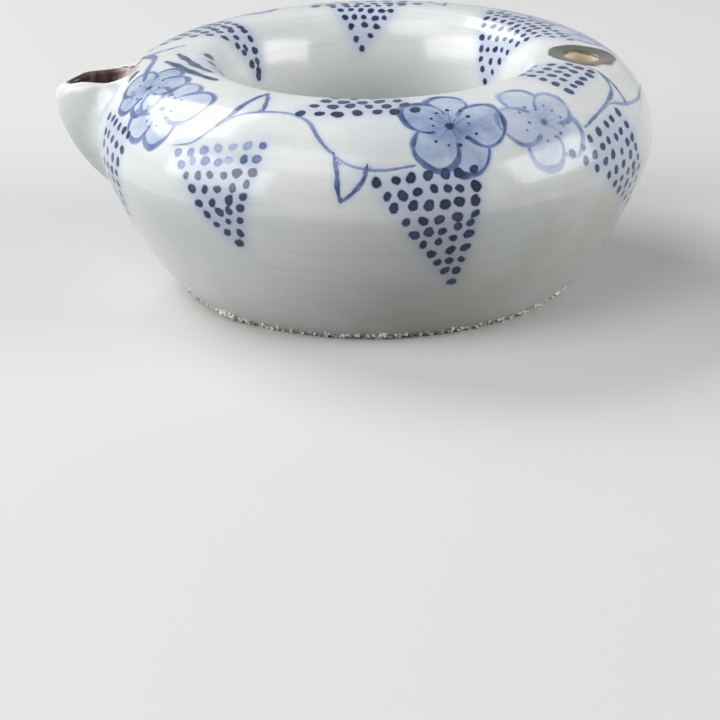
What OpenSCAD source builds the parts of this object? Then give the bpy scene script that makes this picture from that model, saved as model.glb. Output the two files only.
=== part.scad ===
// Ring-shaped porcelain water dropper with a beak spout and a filling hole on the crest.
// The ring stands on z = 0 with its axis on Z. The spout points along -X.

/* [Body] */
// Diameter of the ring at the belly
body_d = 105; // [98:1:115]
// Height of the crest above the table
body_h = 44.6; // [42:0.2:50]
// Height of the belly above the table
belly_z = 28.2; // [26:0.2:30]
// Diameter of the crest circle
crest_d = 68; // [65:0.5:72]
// Thickness of the fired wall
wall = 3.2; // [2.6:0.1:3.8]
// Fullness of the curve from the foot to the belly, 2 is an ellipse
lower_fullness = 1.32; // [1.2:0.02:1.8]
// Fullness of the curve from the belly to the crest, 2 is an ellipse
upper_fullness = 2.15; // [1.8:0.05:2.6]

/* [Well] */
// Diameter of the open well at its throat
well_d = 51.6; // [46:0.2:54]
// Height at which the well wall turns straight down
throat_z = 26.2; // [20:0.2:30]
// Fullness of the curve from the crest to the throat, 2 is an ellipse
well_fullness = 2.3; // [1.8:0.05:2.8]

/* [Foot] */
// Outer diameter of the bare foot on the table
foot_d = 70.8; // [66:0.2:76]
// Height of the foot
foot_h = 1.6; // [1:0.1:2.4]
// Width of the flat that the foot stands on
foot_w = 4.4; // [3:0.1:6]
// Thickness of the chamber floor
floor_t = 3.2; // [2.6:0.1:4]
// Rounding of the lower edge of the well
well_edge = 1; // [0.4:0.1:1.5]

/* [Seams] */
// Radius of the slip coils pressed into the joints inside the chamber
seam_r = 1.8; // [1:0.1:2.4]

/* [Spout] */
// How far the nose of the spout stands out past the belly
spout_out = 8; // [6:0.2:11]
// Width of the spout at its lip
spout_w = 12.4; // [11.6:0.2:15]
// Wall thickness of the spout
spout_wall = 2.2; // [1.8:0.1:2.4]
// How far the lip lies below the crest
lip_drop = 4.3; // [3.8:0.1:5.5]
// How far the root of the mouth lies inside the belly, where the lip climbs onto the shoulder
mouth_in = 8.1; // [7:0.1:9]
// Length over which the lip climbs and the mouth narrows to its root
mouth_run = 6.4; // [5.4:0.1:7.4]
// Height of the rounded nose below the lip
nose_drop = 4; // [3:0.1:5]
// Length of the rounded nose along the lip
nose_run = 5; // [4:0.1:6]
// Height of the whole spout, from its lower root to its lip
spout_h = 24; // [21:0.2:26]
// Straightness of the spout's underside, 1 is a straight line
spout_keel = 1.4; // [1.2:0.05:1.8]
// How fast the spout narrows towards its lower root
spout_narrowing = 2.2; // [1.6:0.1:3]
// How far the root of the spout spreads on the body
root_flare = 1.3; // [0.5:0.1:2]
// Depth of the spout's pocket below the lip
pocket_h = 15; // [13:0.2:17]
// Diameter of the outlet hole through the shoulder
outlet_d = 4.6; // [3.6:0.1:5]
// Height of the outlet hole above the belly
outlet_up = 5.2; // [4.4:0.1:6]

/* [Inlet] */
// Direction of the filling hole, 0 is straight opposite the spout
inlet_angle = -6; // [-20:1:20]
// Distance of the filling hole outside the crest circle
inlet_out = 5; // [4.6:0.1:6]
// Outward lean of the filling hole's axis
inlet_tilt = 6; // [2:0.5:8]
// Diameter of the bare ring round the filling hole
inlet_d = 13; // [12:0.2:14]
// Diameter of the filling hole
hole_d = 6.6; // [6:0.1:7.2]
// Depth of the dish round the filling hole
dish_h = 0.4; // [0.2:0.1:1.2]
// Width of the sloping glazed skirt round the bare ring
skirt_w = 1.8; // [1.2:0.1:2.4]
// Height of the skirt
skirt_h = 3.1; // [2.6:0.1:3.2]
// Length of the ring's collar below its top
collar_h = 5.6; // [5:0.1:7]

/* [Grit] */
// Number of sand grains fused to the foot
grit_n = 46; // [20:1:60]
// Largest grain size
grit_s = 1.1; // [0.7:0.05:1.3]

/* [Hidden] */
$fn = 96;
curve_steps = 18;
back = 3;
keel_sink = 0.5;
belly_r = body_d / 2;
crest_r = crest_d / 2;
well_r = well_d / 2;
foot_r = foot_d / 2;
floor_top = foot_h + floor_t;
floor_r = foot_r + floor_t / 2;
lip_z = body_h - lip_drop;
nose_z = lip_z - nose_drop;
keel_z = lip_z - spout_h;
nose_r = belly_r + spout_out;
pocket_z = lip_z - pocket_h;
outlet_z = belly_z + outlet_up;
inlet_r = crest_r + inlet_out;
keel_r = body_r(keel_z) - keel_sink;
mouth_r = belly_r - mouth_in;
lip_rise = shoulder_z(mouth_r) - lip_z;
pocket_over = 4;
flare_fade = 2;
plan_fullness = 1.9;
spout_rows = 16;
spout_cols = 23;
glaze = "#e6e9ea";
biscuit = "#d9cdbb";
slip = "#cfc6b8";
rim_brown = "#6f6a55";
mouth_least = 0.06;
golden_turn = 137.508;
grit_gap = 0.02;
grit_smallest = 0.55;
grit_sit = 1.3;
grit_shape = [0.7, 1, 0.8];
grit_size_step = 71;
grit_roll_step = 37;

// Curves. Each is a quarter superellipse: t runs from 0 to 90 degrees.
function lower_pt(t) = [
    foot_r + (belly_r - foot_r) * pow(sin(t), 2 / lower_fullness),
    belly_z - belly_z * pow(cos(t), 2 / lower_fullness)];
function upper_pt(t, in = 0) = [
    crest_r + (belly_r - in - crest_r) * pow(cos(t), 2 / upper_fullness),
    belly_z + (body_h - in - belly_z) * pow(sin(t), 2 / upper_fullness)];
function well_pt(t, in = 0) = [
    crest_r - (crest_r - well_r - in) * pow(sin(t), 2 / well_fullness),
    throat_z + (body_h - in - throat_z) * pow(cos(t), 2 / well_fullness)];
function chamber_pt(t) = [
    floor_r + (belly_r - wall - floor_r) * pow(sin(t), 2 / lower_fullness),
    belly_z - (belly_z - floor_top) * pow(cos(t), 2 / lower_fullness)];
function steps(from, to) = [for (i = [0 : curve_steps]) from + (to - from) * i / curve_steps];

// Where the outer curve passes the top of the foot.
foot_t = acos(pow(1 - foot_h / belly_z, lower_fullness / 2));

// Radius of the outer surface at height z, and height of the shoulder at radius r.
function below(z) = pow(max(0, 1 - z / belly_z), lower_fullness / 2);
function above(z) = pow(min(1, (z - belly_z) / (body_h - belly_z)), upper_fullness / 2);
function body_r(z) = z < belly_z
    ? foot_r + (belly_r - foot_r) * pow(1 - pow(below(z), 2), 1 / lower_fullness)
    : crest_r + (belly_r - crest_r) * pow(1 - pow(above(z), 2), 1 / upper_fullness);
function shoulder_z(r) = belly_z + (body_h - belly_z)
    * pow(1 - pow((r - crest_r) / (belly_r - crest_r), upper_fullness), 1 / upper_fullness);

// Half sections of the turned members.
module foot_outline() {
    polygon([
        for (t = steps(0, foot_t)) lower_pt(t),
        [foot_r - foot_w, foot_h],
        [foot_r - foot_w, 0]]);
}
module floor_outline() {
    polygon([
        [floor_r, foot_h],
        [floor_r, floor_top],
        [well_r, floor_top],
        for (a = steps(180, 270))
            [well_r + well_edge + well_edge * cos(a), foot_h + well_edge + well_edge * sin(a)]]);
}
module outer_wall_outline() {
    polygon([
        for (t = steps(foot_t, 90)) lower_pt(t),
        for (t = steps(90, 0)) chamber_pt(t),
        [floor_r, foot_h]]);
}
module shoulder_outline() {
    polygon([
        for (t = steps(0, 90)) upper_pt(t),
        for (t = steps(90, 0)) upper_pt(t, wall)]);
}
module well_outline() {
    polygon([
        for (t = steps(0, 90)) well_pt(t),
        [well_r, floor_top],
        [well_r + wall, floor_top],
        for (t = steps(90, 0)) well_pt(t, wall)]);
}

// The ring as if it were solid from the crest circle outwards, to trim what is luted on it.
module solid_ring() {
    rotate_extrude()
        polygon([
            for (t = steps(0, 90)) lower_pt(t),
            for (t = steps(0, 90)) upper_pt(t),
            [crest_r, 0]]);
}

// Spout. One row is a rounded beak in plan, and the rows are stacked from keel to lip.
function nose_reach(z) = nose_r - nose_run
    + nose_run * sqrt(max(0, 1 - pow((z - nose_z) / nose_drop, 2)));
function keel_reach(z) = keel_r
    + (nose_r - keel_r) * pow(max(0, 1 - pow((nose_z - z) / (nose_z - keel_z), spout_keel)), 1 / spout_keel);
function reach(z) = z > nose_z ? nose_reach(z) : keel_reach(z);
function pocket_reach(z) = keel_reach(min(z, nose_z)) - spout_wall;
function half_width(z) = spout_w / 2 * (1 - pow(max(0, lip_z - z) / spout_h, spout_narrowing));
function root_share(x) = min(1, max(0, (mouth_r + mouth_run - x) / mouth_run));
function lift(x, z) = lip_rise * pow(root_share(x), 2) * pow(max(0, (z - nose_z) / nose_drop), 2);
function mouth_share(x) = max(mouth_least, sqrt(1 - pow(root_share(x), 2)));
function flare(x, z) = root_flare * exp(-max(0, x - body_r(z)) / flare_fade);
function along(a) = pow(cos(a), 2 / plan_fullness);
function across(a) = sign(a) * pow(abs(sin(a)), 2 / plan_fullness);
function beak_pt(a, z) =
    let (x0 = body_r(z) - back, x = x0 + (reach(z) - x0) * along(a))
    [-x, across(a) * (half_width(z) + flare(x, z)), z + lift(x, z)];
function pocket_pt(a, z) =
    let (x0 = body_r(min(z, lip_z)) - back, x = x0 + (pocket_reach(z) - x0) * along(a))
    [-x, across(a) * (half_width(z) - spout_wall) * mouth_share(x), z];
function turn(i) = 90 - 180 * i / spout_cols;
function rise(j) = sin(90 * j / spout_rows);
function beak_rows() = [for (j = [0 : spout_rows])
    [for (i = [0 : spout_cols]) beak_pt(turn(i), keel_z + spout_h * rise(j))]];
function pocket_rows() = [for (j = [0 : spout_rows])
    [for (i = [0 : spout_cols]) pocket_pt(turn(i), pocket_z + (pocket_h + pocket_over) * j / spout_rows)]];
// A row holds an even number of points that mirror each other, so each cap is a strip across the row.
module loft(rows) {
    n = len(rows[0]);
    last = len(rows) - 1;
    top = last * n;
    polyhedron(
        [for (row = rows) for (p = row) p],
        concat(
            [for (i = [0 : n / 2 - 2]) [i, i + 1, n - 2 - i]],
            [for (i = [0 : n / 2 - 2]) [i, n - 2 - i, n - 1 - i]],
            [for (j = [0 : last - 1]) for (i = [0 : n - 1])
                [j * n + i, (j + 1) * n + i, (j + 1) * n + (i + 1) % n]],
            [for (j = [0 : last - 1]) for (i = [0 : n - 1])
                [j * n + i, (j + 1) * n + (i + 1) % n, j * n + (i + 1) % n]],
            [for (i = [0 : n / 2 - 2]) [top + i, top + n - 2 - i, top + i + 1]],
            [for (i = [0 : n / 2 - 2]) [top + i, top + n - 1 - i, top + n - 2 - i]]));
}

// Filling hole. Its own frame has Z along the hole, leaning outwards, with 0 on the shoulder.
module at_inlet() {
    rotate([0, 0, inlet_angle])
        translate([inlet_r, 0, shoulder_z(inlet_r)])
            rotate([0, inlet_tilt, 0])
                children();
}

// The round hole through the crest that the inlet ring is set in.
module inlet_socket() {
    at_inlet() translate([0, 0, -collar_h - wall]) cylinder(d = inlet_d, h = 2 * (collar_h + wall));
}

module foot_ring() color(biscuit) rotate_extrude() foot_outline();

module floor_ring() color(glaze) rotate_extrude() floor_outline();

module outer_wall() color(glaze) rotate_extrude() outer_wall_outline();

module shoulder() {
    color(glaze)
        difference() {
            rotate_extrude() shoulder_outline();
            inlet_socket();
            translate([-belly_r, 0, outlet_z])
                rotate([0, 90, 0])
                    cylinder(d = outlet_d, h = 4 * wall, center = true);
        }
}

module well_wall() {
    color(glaze)
        difference() {
            rotate_extrude() well_outline();
            inlet_socket();
        }
}

module belly_seam() {
    color(slip)
        rotate_extrude()
            difference() {
                translate([belly_r - wall, belly_z]) circle(r = seam_r);
                outer_wall_outline();
                shoulder_outline();
            }
}

module crest_seam() {
    color(slip)
        difference() {
            rotate_extrude()
                difference() {
                    translate([crest_r, body_h - wall]) circle(r = seam_r);
                    shoulder_outline();
                    well_outline();
                }
            inlet_socket();
        }
}

module spout_shell() {
    color(glaze)
        difference() {
            loft(beak_rows());
            loft(pocket_rows());
            solid_ring();
        }
}

module inlet_rim() {
    color(rim_brown)
        difference() {
            at_inlet() {
                translate([0, 0, -collar_h]) cylinder(d = inlet_d, h = collar_h);
                translate([0, 0, -skirt_h]) cylinder(d1 = inlet_d + 2 * skirt_w, d2 = inlet_d, h = skirt_h);
            }
            at_inlet() {
                translate([0, 0, -2 * collar_h]) cylinder(d = hole_d, h = 4 * collar_h);
                translate([0, 0, -dish_h]) cylinder(d1 = hole_d, d2 = inlet_d - 1, h = dish_h);
            }
            difference() {
                rotate_extrude() {
                    shoulder_outline();
                    well_outline();
                }
                inlet_socket();
            }
        }
}

// One grain lies with a flat side against the wall just above the foot.
module grain(i) {
    s = grit_s * (grit_smallest + (1 - grit_smallest) * abs(sin(i * grit_size_step)));
    z = grit_sit * s;
    lean = atan2(body_r(z + s / 10) - body_r(z - s / 10), s / 5);
    rotate([0, 0, i * golden_turn])
        translate([body_r(z), 0, z])
            rotate([0, lean, 0])
                translate([grit_shape[0] * s / 2 + grit_gap, 0, 0])
                    rotate([i * grit_roll_step, 0, 0])
                        cube(s * grit_shape, center = true);
}

module kiln_grit() color(biscuit) for (i = [1 : grit_n]) grain(i);

foot_ring();
floor_ring();
outer_wall();
shoulder();
well_wall();
belly_seam();
crest_seam();
spout_shell();
inlet_rim();
kiln_grit();
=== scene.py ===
"""A ring-shaped porcelain water dropper with a beak spout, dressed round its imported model.

Lengths are in millimetres while a surface is worked out, and in metres in Blender. A place on the
ring is written as (turn, arc): turn is the angle in degrees seen from above, 0 facing the camera
side (-Y) and 90 at +X, and arc is the distance along the half section from the edge of the foot,
over the belly and the crest, down into the well.
"""

import logging
import math
from collections.abc import Callable
from dataclasses import dataclass, field
from enum import Enum

import bpy
import numpy as np
from mathutils import Matrix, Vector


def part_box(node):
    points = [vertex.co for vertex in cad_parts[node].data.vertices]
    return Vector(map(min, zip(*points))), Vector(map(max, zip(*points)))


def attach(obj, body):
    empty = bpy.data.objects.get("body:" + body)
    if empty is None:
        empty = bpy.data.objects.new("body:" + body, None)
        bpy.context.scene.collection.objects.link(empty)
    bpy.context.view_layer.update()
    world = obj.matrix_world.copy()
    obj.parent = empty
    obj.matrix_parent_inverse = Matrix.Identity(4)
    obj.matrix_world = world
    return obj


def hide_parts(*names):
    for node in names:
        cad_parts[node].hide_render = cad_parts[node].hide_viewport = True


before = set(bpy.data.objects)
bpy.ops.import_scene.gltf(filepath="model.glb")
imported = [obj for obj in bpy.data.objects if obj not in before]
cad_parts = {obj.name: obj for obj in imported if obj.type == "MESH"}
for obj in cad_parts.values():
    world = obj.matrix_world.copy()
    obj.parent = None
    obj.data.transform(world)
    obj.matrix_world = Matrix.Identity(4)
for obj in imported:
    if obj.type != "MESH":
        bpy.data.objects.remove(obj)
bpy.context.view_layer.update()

MM = 0.001
IMAGE = 720
COLUMNS = 720
ROW_STEP = 0.44
SEED = 7
BODY = "root"
FAR = 9.0
BARE = -100.0
TABLE = 6000
LOG = logging.getLogger("water_dropper")
Curve = Callable[[np.ndarray], np.ndarray]
Feed = bpy.types.NodeSocket | float | tuple


class Hue(Enum):
    """Colours of the fired piece, as linear red, green and blue."""

    WHITE = (0.715, 0.730, 0.715)
    COOL = (0.585, 0.625, 0.635)
    GREY = (0.500, 0.510, 0.490)
    WARM = (0.560, 0.490, 0.390)
    RUST = (0.300, 0.150, 0.070)
    BISCUIT = (0.780, 0.740, 0.660)
    BISCUIT_DARK = (0.600, 0.540, 0.450)
    IRON = (0.070, 0.040, 0.038)
    IRON_PALE = (0.230, 0.150, 0.145)
    # Painted highlight on the iron lining at the root of the spout's mouth.
    PINK_HIGHLIGHT = (0.560, 0.440, 0.410)
    OLIVE = (0.098, 0.108, 0.060)
    # Olive glaze in painted shade, for the far side of the inlet ring.
    OLIVE_SHADED = (0.034, 0.026, 0.017)
    MAUVE = (0.140, 0.110, 0.106)
    SAND = (0.880, 0.870, 0.840)
    BORE = (0.800, 0.690, 0.520)
    SLIP = (0.62, 0.57, 0.49)
    FLOOR = (0.66, 0.66, 0.65)
    SKY = (0.93, 0.96, 1.0)

    @property
    def rgba(self) -> tuple[float, float, float, float]:
        """The colour with full opacity."""
        return (*self.value, 1.0)


# Geometry helpers


def new_object(name: str, points: np.ndarray, quads: np.ndarray, extra: list[list[int]] | None = None,
               sharp: float = 38.0) -> bpy.types.Object:
    """Puts whole arrays of points and four-sided faces into a new mesh object at the origin.

    Args:
        name: Name of the piece.
        points: Array (n, 3) in millimetres.
        quads: Array (m, 4) of point numbers, turning counter-clockwise seen from outside.
        extra: Further faces with any number of corners.
        sharp: Angle in degrees above which an edge stays crisp.

    Returns:
        The object, linked to the scene, smooth shaded.
    """
    mesh = bpy.data.meshes.new(name)
    loose = extra or []
    corners = np.concatenate([quads.reshape(-1)] + [np.array(f) for f in loose]).astype(np.int32)
    sizes = np.array([4] * len(quads) + [len(f) for f in loose], np.int32)
    mesh.vertices.add(len(points))
    mesh.vertices.foreach_set("co", (points * MM).astype(np.float32).reshape(-1))
    mesh.loops.add(len(corners))
    mesh.loops.foreach_set("vertex_index", corners)
    mesh.polygons.add(len(sizes))
    mesh.polygons.foreach_set("loop_start", np.concatenate([[0], np.cumsum(sizes)[:-1]]).astype(np.int32))
    mesh.polygons.foreach_set("use_smooth", np.ones(len(sizes), bool))
    mesh.update(calc_edges=True)
    mesh.validate()
    mesh.set_sharp_from_angle(angle=math.radians(sharp))
    obj = bpy.data.objects.new(name, mesh)
    bpy.context.scene.collection.objects.link(obj)
    return obj


def wrap_quads(rows: int, cols: int, wrap_rows: bool, wrap_cols: bool) -> np.ndarray:
    """Faces of a grid whose point (row, col) is number row * cols + col.

    Args:
        rows: Number of rows.
        cols: Number of columns.
        wrap_rows: True where the last row joins the first.
        wrap_cols: True where the last column joins the first.

    Returns:
        Array (m, 4) of point numbers.
    """
    i = np.arange(rows if wrap_rows else rows - 1)[:, None]
    j = np.arange(cols if wrap_cols else cols - 1)[None, :]
    ni, nj = (i + 1) % rows, (j + 1) % cols
    return np.stack([i * cols + j, i * cols + nj, ni * cols + nj, ni * cols + j], -1).reshape(-1, 4)


def spin(half: np.ndarray, turns: np.ndarray) -> np.ndarray:
    """Carries a half section round the ring's axis: x = r sin(turn), y = -r cos(turn), z = z.

    Args:
        half: Array (n, 2) of radius and height.
        turns: Array (m,) of angles in degrees.

    Returns:
        Array (n, m, 3).
    """
    angle = np.radians(turns)[None, :]
    radius, height = half[:, 0:1], half[:, 1:2]
    return np.stack([radius * np.sin(angle), -radius * np.cos(angle), height + 0 * angle], -1)


def set_field(obj: bpy.types.Object, name: str, values: np.ndarray) -> None:
    """Writes one number or one vector per point as a named attribute.

    Args:
        obj: The piece.
        name: Name that the material reads.
        values: Array (n,) or (n, 3), in the order of the mesh's points.
    """
    kind, key = ("FLOAT", "value") if values.ndim == 1 else ("FLOAT_VECTOR", "vector")
    attribute = obj.data.attributes.new(name, kind, "POINT")
    attribute.data.foreach_set(key, values.astype(np.float32).reshape(-1))


def smooth_step(low: float, high: float, value: np.ndarray) -> np.ndarray:
    """0 below low, 1 above high, and an s-curve 3t^2 - 2t^3 between."""
    t = np.clip((value - low) / (high - low), 0.0, 1.0)
    return t * t * (3 - 2 * t)


@dataclass(frozen=True)
class RingSection:
    """Half section of the ring. Each curve is a quarter superellipse with t from 0 to 90 degrees."""

    belly_r: float
    belly_z: float
    crest_z: float
    foot_r: float = 35.4
    crest_r: float = 34.0
    well_r: float = 25.8
    throat_z: float = 26.2
    wall: float = 3.2
    foot_h: float = 1.6
    foot_w: float = 4.4
    floor_top: float = 4.8
    well_edge: float = 1.0
    lower_fullness: float = 1.32
    upper_fullness: float = 2.15
    well_fullness: float = 2.3

    @classmethod
    def from_frame(cls) -> "RingSection":
        """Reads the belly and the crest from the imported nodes' boxes."""
        wall_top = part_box("outer_wall")[1]
        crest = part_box("shoulder")[1]
        return cls(belly_r=wall_top.x / MM, belly_z=wall_top.z / MM, crest_z=crest.z / MM)

    @property
    def floor_r(self) -> float:
        """Radius at which the chamber floor meets the outer wall."""
        return self.foot_r + (self.floor_top - self.foot_h) / 2

    def lower(self, t: np.ndarray) -> np.ndarray:
        """Foot to belly: r = foot + (belly - foot) sin^(2/n) t, z = belly_z (1 - cos^(2/n) t)."""
        power = 2 / self.lower_fullness
        radius = self.foot_r + (self.belly_r - self.foot_r) * np.sin(t) ** power
        return np.stack([radius, self.belly_z * (1 - np.clip(np.cos(t), 0, 1) ** power)], -1)

    def upper(self, t: np.ndarray, inset: float = 0.0) -> np.ndarray:
        """Belly to crest: r = crest + span cos^(2/n) t, z = belly_z + rise sin^(2/n) t."""
        power = 2 / self.upper_fullness
        span = self.belly_r - inset - self.crest_r
        rise = self.crest_z - inset - self.belly_z
        radius = self.crest_r + span * np.clip(np.cos(t), 0, 1) ** power
        return np.stack([radius, self.belly_z + rise * np.sin(t) ** power], -1)

    def well(self, t: np.ndarray, inset: float = 0.0) -> np.ndarray:
        """Crest to throat: r = crest - span sin^(2/n) t, z = throat_z + rise cos^(2/n) t."""
        power = 2 / self.well_fullness
        span = self.crest_r - self.well_r - inset
        rise = self.crest_z - inset - self.throat_z
        height = self.throat_z + rise * np.clip(np.cos(t), 0, 1) ** power
        return np.stack([self.crest_r - span * np.sin(t) ** power, height], -1)

    def chamber(self, t: np.ndarray) -> np.ndarray:
        """Inside of the outer wall, from the chamber floor to the belly, with the same fullness."""
        power = 2 / self.lower_fullness
        span = self.belly_r - self.wall - self.floor_r
        height = self.belly_z - (self.belly_z - self.floor_top) * np.clip(np.cos(t), 0, 1) ** power
        return np.stack([self.floor_r + span * np.sin(t) ** power, height], -1)

    @property
    def foot_t(self) -> float:
        """Where the lower curve passes the top of the foot, in radians."""
        return math.acos((1 - self.foot_h / self.belly_z) ** (self.lower_fullness / 2))

    def arc_table(self, curve: Curve, start: float = 0.0) -> tuple[np.ndarray, np.ndarray]:
        """Length along a curve from t = start to 90 degrees, at TABLE values of t."""
        t = np.linspace(start, math.pi / 2, TABLE)
        steps = np.hypot(*np.diff(curve(t), axis=0).T)
        return t, np.concatenate([[0], np.cumsum(steps)])

    def even_t(self, curve: Curve, step: float, start: float = 0.0, seam: float = 0.02) -> np.ndarray:
        """Values of t about one step apart along a curve, with one close row beside each end.

        Args:
            curve: Function of t that gives radius and height.
            step: Distance between rows.
            start: First t.
            seam: Distance of the close rows from the ends, so that neighbours shade alike.

        Returns:
            Array of t in radians.
        """
        t, arc = self.arc_table(curve, start)
        middle = np.linspace(0, arc[-1], int(arc[-1] / step) + 1)[1:-1]
        wanted = np.concatenate([[0, seam], middle, [arc[-1] - seam, arc[-1]]])
        return np.interp(wanted, arc, t)

    @property
    def belly_arc(self) -> float:
        """Length along the section from the foot's edge to the belly."""
        return float(self.arc_table(self.lower)[1][-1])

    @property
    def crest_arc(self) -> float:
        """Length along the section from the foot's edge to the crest."""
        return self.belly_arc + float(self.arc_table(self.upper)[1][-1])

    def body_r(self, z: np.ndarray) -> np.ndarray:
        """Radius of the outer surface at height z."""
        low = np.clip(1 - z / self.belly_z, 0, 1) ** (self.lower_fullness / 2)
        climb = np.clip((z - self.belly_z) / (self.crest_z - self.belly_z), 0, 1)
        high = climb ** (self.upper_fullness / 2)
        under = self.foot_r + (self.belly_r - self.foot_r) * (1 - low**2) ** (1 / self.lower_fullness)
        over = self.crest_r + (self.belly_r - self.crest_r) * (1 - high**2) ** (1 / self.upper_fullness)
        return np.where(z < self.belly_z, under, over)

    def shoulder_z(self, r: np.ndarray) -> np.ndarray:
        """Height of the shoulder at radius r."""
        share = np.clip((r - self.crest_r) / (self.belly_r - self.crest_r), 0, 1)
        rise = self.crest_z - self.belly_z
        return self.belly_z + rise * (1 - share**self.upper_fullness) ** (1 / self.upper_fullness)

    def arc_at(self, points: np.ndarray) -> np.ndarray:
        """Distance along the section of points near the outer surface, by their angle on its curve.

        Args:
            points: Array (..., 3).

        Returns:
            Array (...) of arc lengths.
        """
        radius = np.hypot(points[..., 0], points[..., 1])
        z = points[..., 2]
        p, q = self.lower_fullness / 2, self.upper_fullness / 2
        out = np.clip((radius - self.foot_r) / (self.belly_r - self.foot_r), 0, None)
        t_low = np.arctan2(out**p, np.clip(1 - z / self.belly_z, 0, None) ** p)
        up = np.clip((z - self.belly_z) / (self.crest_z - self.belly_z), 0, None)
        over = np.clip((radius - self.crest_r) / (self.belly_r - self.crest_r), 0, None)
        t_high = np.arctan2(up**q, over**q)
        low_t, low_arc = self.arc_table(self.lower)
        high_t, high_arc = self.arc_table(self.upper)
        lower = np.interp(t_low, low_t, low_arc)
        upper = self.belly_arc + np.interp(t_high, high_t, high_arc)
        return np.where(z < self.belly_z, lower, upper)


# Painting under the glaze


@dataclass(frozen=True)
class DotPanel:
    """A hanging triangle of brush dots, like a bunch of grapes, set out in rows from base to apex."""

    left: tuple[float, float]
    right: tuple[float, float]
    apex: tuple[float, float]
    rows: int
    dot: float = 0.92
    tone: float = 1.0
    # Rows next to the base that are paled as a painted highlight, where lamp glare washes the dots out.
    glare_paled_rows: int = 0
    pitch: float = 2.75

    def dots(self, section_r: Curve, rng: np.random.Generator) -> np.ndarray:
        """Places the dots: row k lies k / rows of the way from base to apex, its dots evenly apart.

        Args:
            section_r: Function that gives the ring's radius at an arc.
            rng: Seeded generator for the brush's small misses.

        Returns:
            Array (n, 5) of turn, arc, radius, tone and lean of each dot.
        """
        placed = []
        for k in range(self.rows):
            share = k / (self.rows - 0.6)
            corners = (np.array(self.left), np.array(self.right))
            ends = [corner + (np.array(self.apex) - corner) * share for corner in corners]
            arc = (ends[0][1] + ends[1][1]) / 2
            width = abs(ends[1][0] - ends[0][0]) * math.pi / 180 * section_r(arc)
            count = max(1, int(round(width / self.pitch)) + 1)
            along = np.linspace(0, 1, count) if count > 1 else np.array([0.5])
            turn = ends[0][0] + (ends[1][0] - ends[0][0]) * along + rng.normal(0, 0.22, count)
            rise = ends[0][1] + (ends[1][1] - ends[0][1]) * along
            height = rise + 0.35 * np.sin(along * 3.0 + k) + rng.normal(0, 0.16, count)
            size = self.dot * (1 - 0.10 * share) * rng.uniform(0.84, 1.12, count)
            tone = self.tone * rng.uniform(0.86, 1.04, count)
            # Painted highlight: these rows are paled as if the lamp's glare washed them out.
            if k < self.glare_paled_rows:
                tone = tone * rng.uniform(0.35, 0.75, count)
            placed.append(np.stack([turn, height, size, tone, rng.uniform(0, math.pi, count)], -1))
        return np.concatenate(placed)


@dataclass(frozen=True)
class Stroke:
    """One pull of the brush along given points, thick in the middle and thin at its ends."""

    points: tuple[tuple[float, float], ...]
    width: float = 0.75
    tone: float = 0.62
    tip: float = 0.35

    def path(self) -> tuple[np.ndarray, np.ndarray, np.ndarray]:
        """Smooths the points with a Catmull-Rom curve.

        Returns:
            Points (n, 2), half widths (n,) and tones (n,).
        """
        p = np.array(self.points, float)
        ends = np.concatenate([[2 * p[0] - p[1]], p, [2 * p[-1] - p[-2]]])
        u = np.linspace(0, 1, 9)[:-1][None, :, None]
        a, b, c, d = (ends[k : len(ends) - 3 + k][:, None, :] for k in range(4))
        square, cube = 2 * a - 5 * b + 4 * c - d, 3 * b - a - 3 * c + d
        curve = 0.5 * (2 * b + (c - a) * u + square * u**2 + cube * u**3)
        curve = np.concatenate([curve.reshape(-1, 2), p[-1:]])
        share = np.linspace(0, 1, len(curve))
        press = self.tip + (1 - self.tip) * np.sin(np.pi * np.clip(share * 0.94 + 0.03, 0, 1)) ** 0.6
        half = self.width / 2 * press * (1 + 0.16 * np.sin(share * 17 + self.points[0][0]))
        return curve, half, self.tone * (0.86 + 0.2 * np.sin(share * 9 + self.points[0][1]) ** 2)


@dataclass(frozen=True)
class Blossom:
    """A five-petalled plum blossom, with petals that overlap in turn."""

    centre: tuple[float, float]
    radius: float
    lean: float
    tone: float = 1.0
    stretch: float = 1.0
    sizes: tuple[float, ...] = (1.0, 0.94, 1.05, 0.9, 1.0)

    def petals(self, x: np.ndarray, y: np.ndarray) -> np.ndarray:
        """Signed distance to three sets of petals, negative inside.

        Each petal is an ellipse whose outline wavers with the third and fifth harmonic of the angle.
        Petals 0 and 2 share a set, as do 1 and 3, and petal 4 has its own, so neighbours can overlap.

        Args:
            x: Distance to the right of the centre.
            y: Distance above the centre.

        Returns:
            Array (..., 3).
        """
        sets = np.full((*x.shape, 3), FAR)
        for k, size in enumerate(self.sizes):
            angle = math.radians(self.lean + 72 * k + 5 * math.sin(3.1 * k + self.lean))
            out = x * math.cos(angle) + y / self.stretch * math.sin(angle) - 0.575 * self.radius * size
            side = -x * math.sin(angle) + y / self.stretch * math.cos(angle)
            a, b = 0.45 * self.radius * size, 0.44 * self.radius * size
            swing = np.arctan2(side, out)
            waver = 1 + 0.022 * np.sin(3 * swing + k) + 0.016 * np.sin(5 * swing + 2.3 * k + self.lean)
            a, b = a * waver, b * waver * (1 + 0.10 * out / a)
            near = np.hypot(out / a, side / b)
            slope = np.hypot(out / a**2, side / b**2) + 1e-6
            which = (0, 1, 0, 1, 2)[k]
            sets[..., which] = np.minimum(sets[..., which], near * (near - 1) / slope)
        return np.clip(sets, -FAR, FAR)


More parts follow.
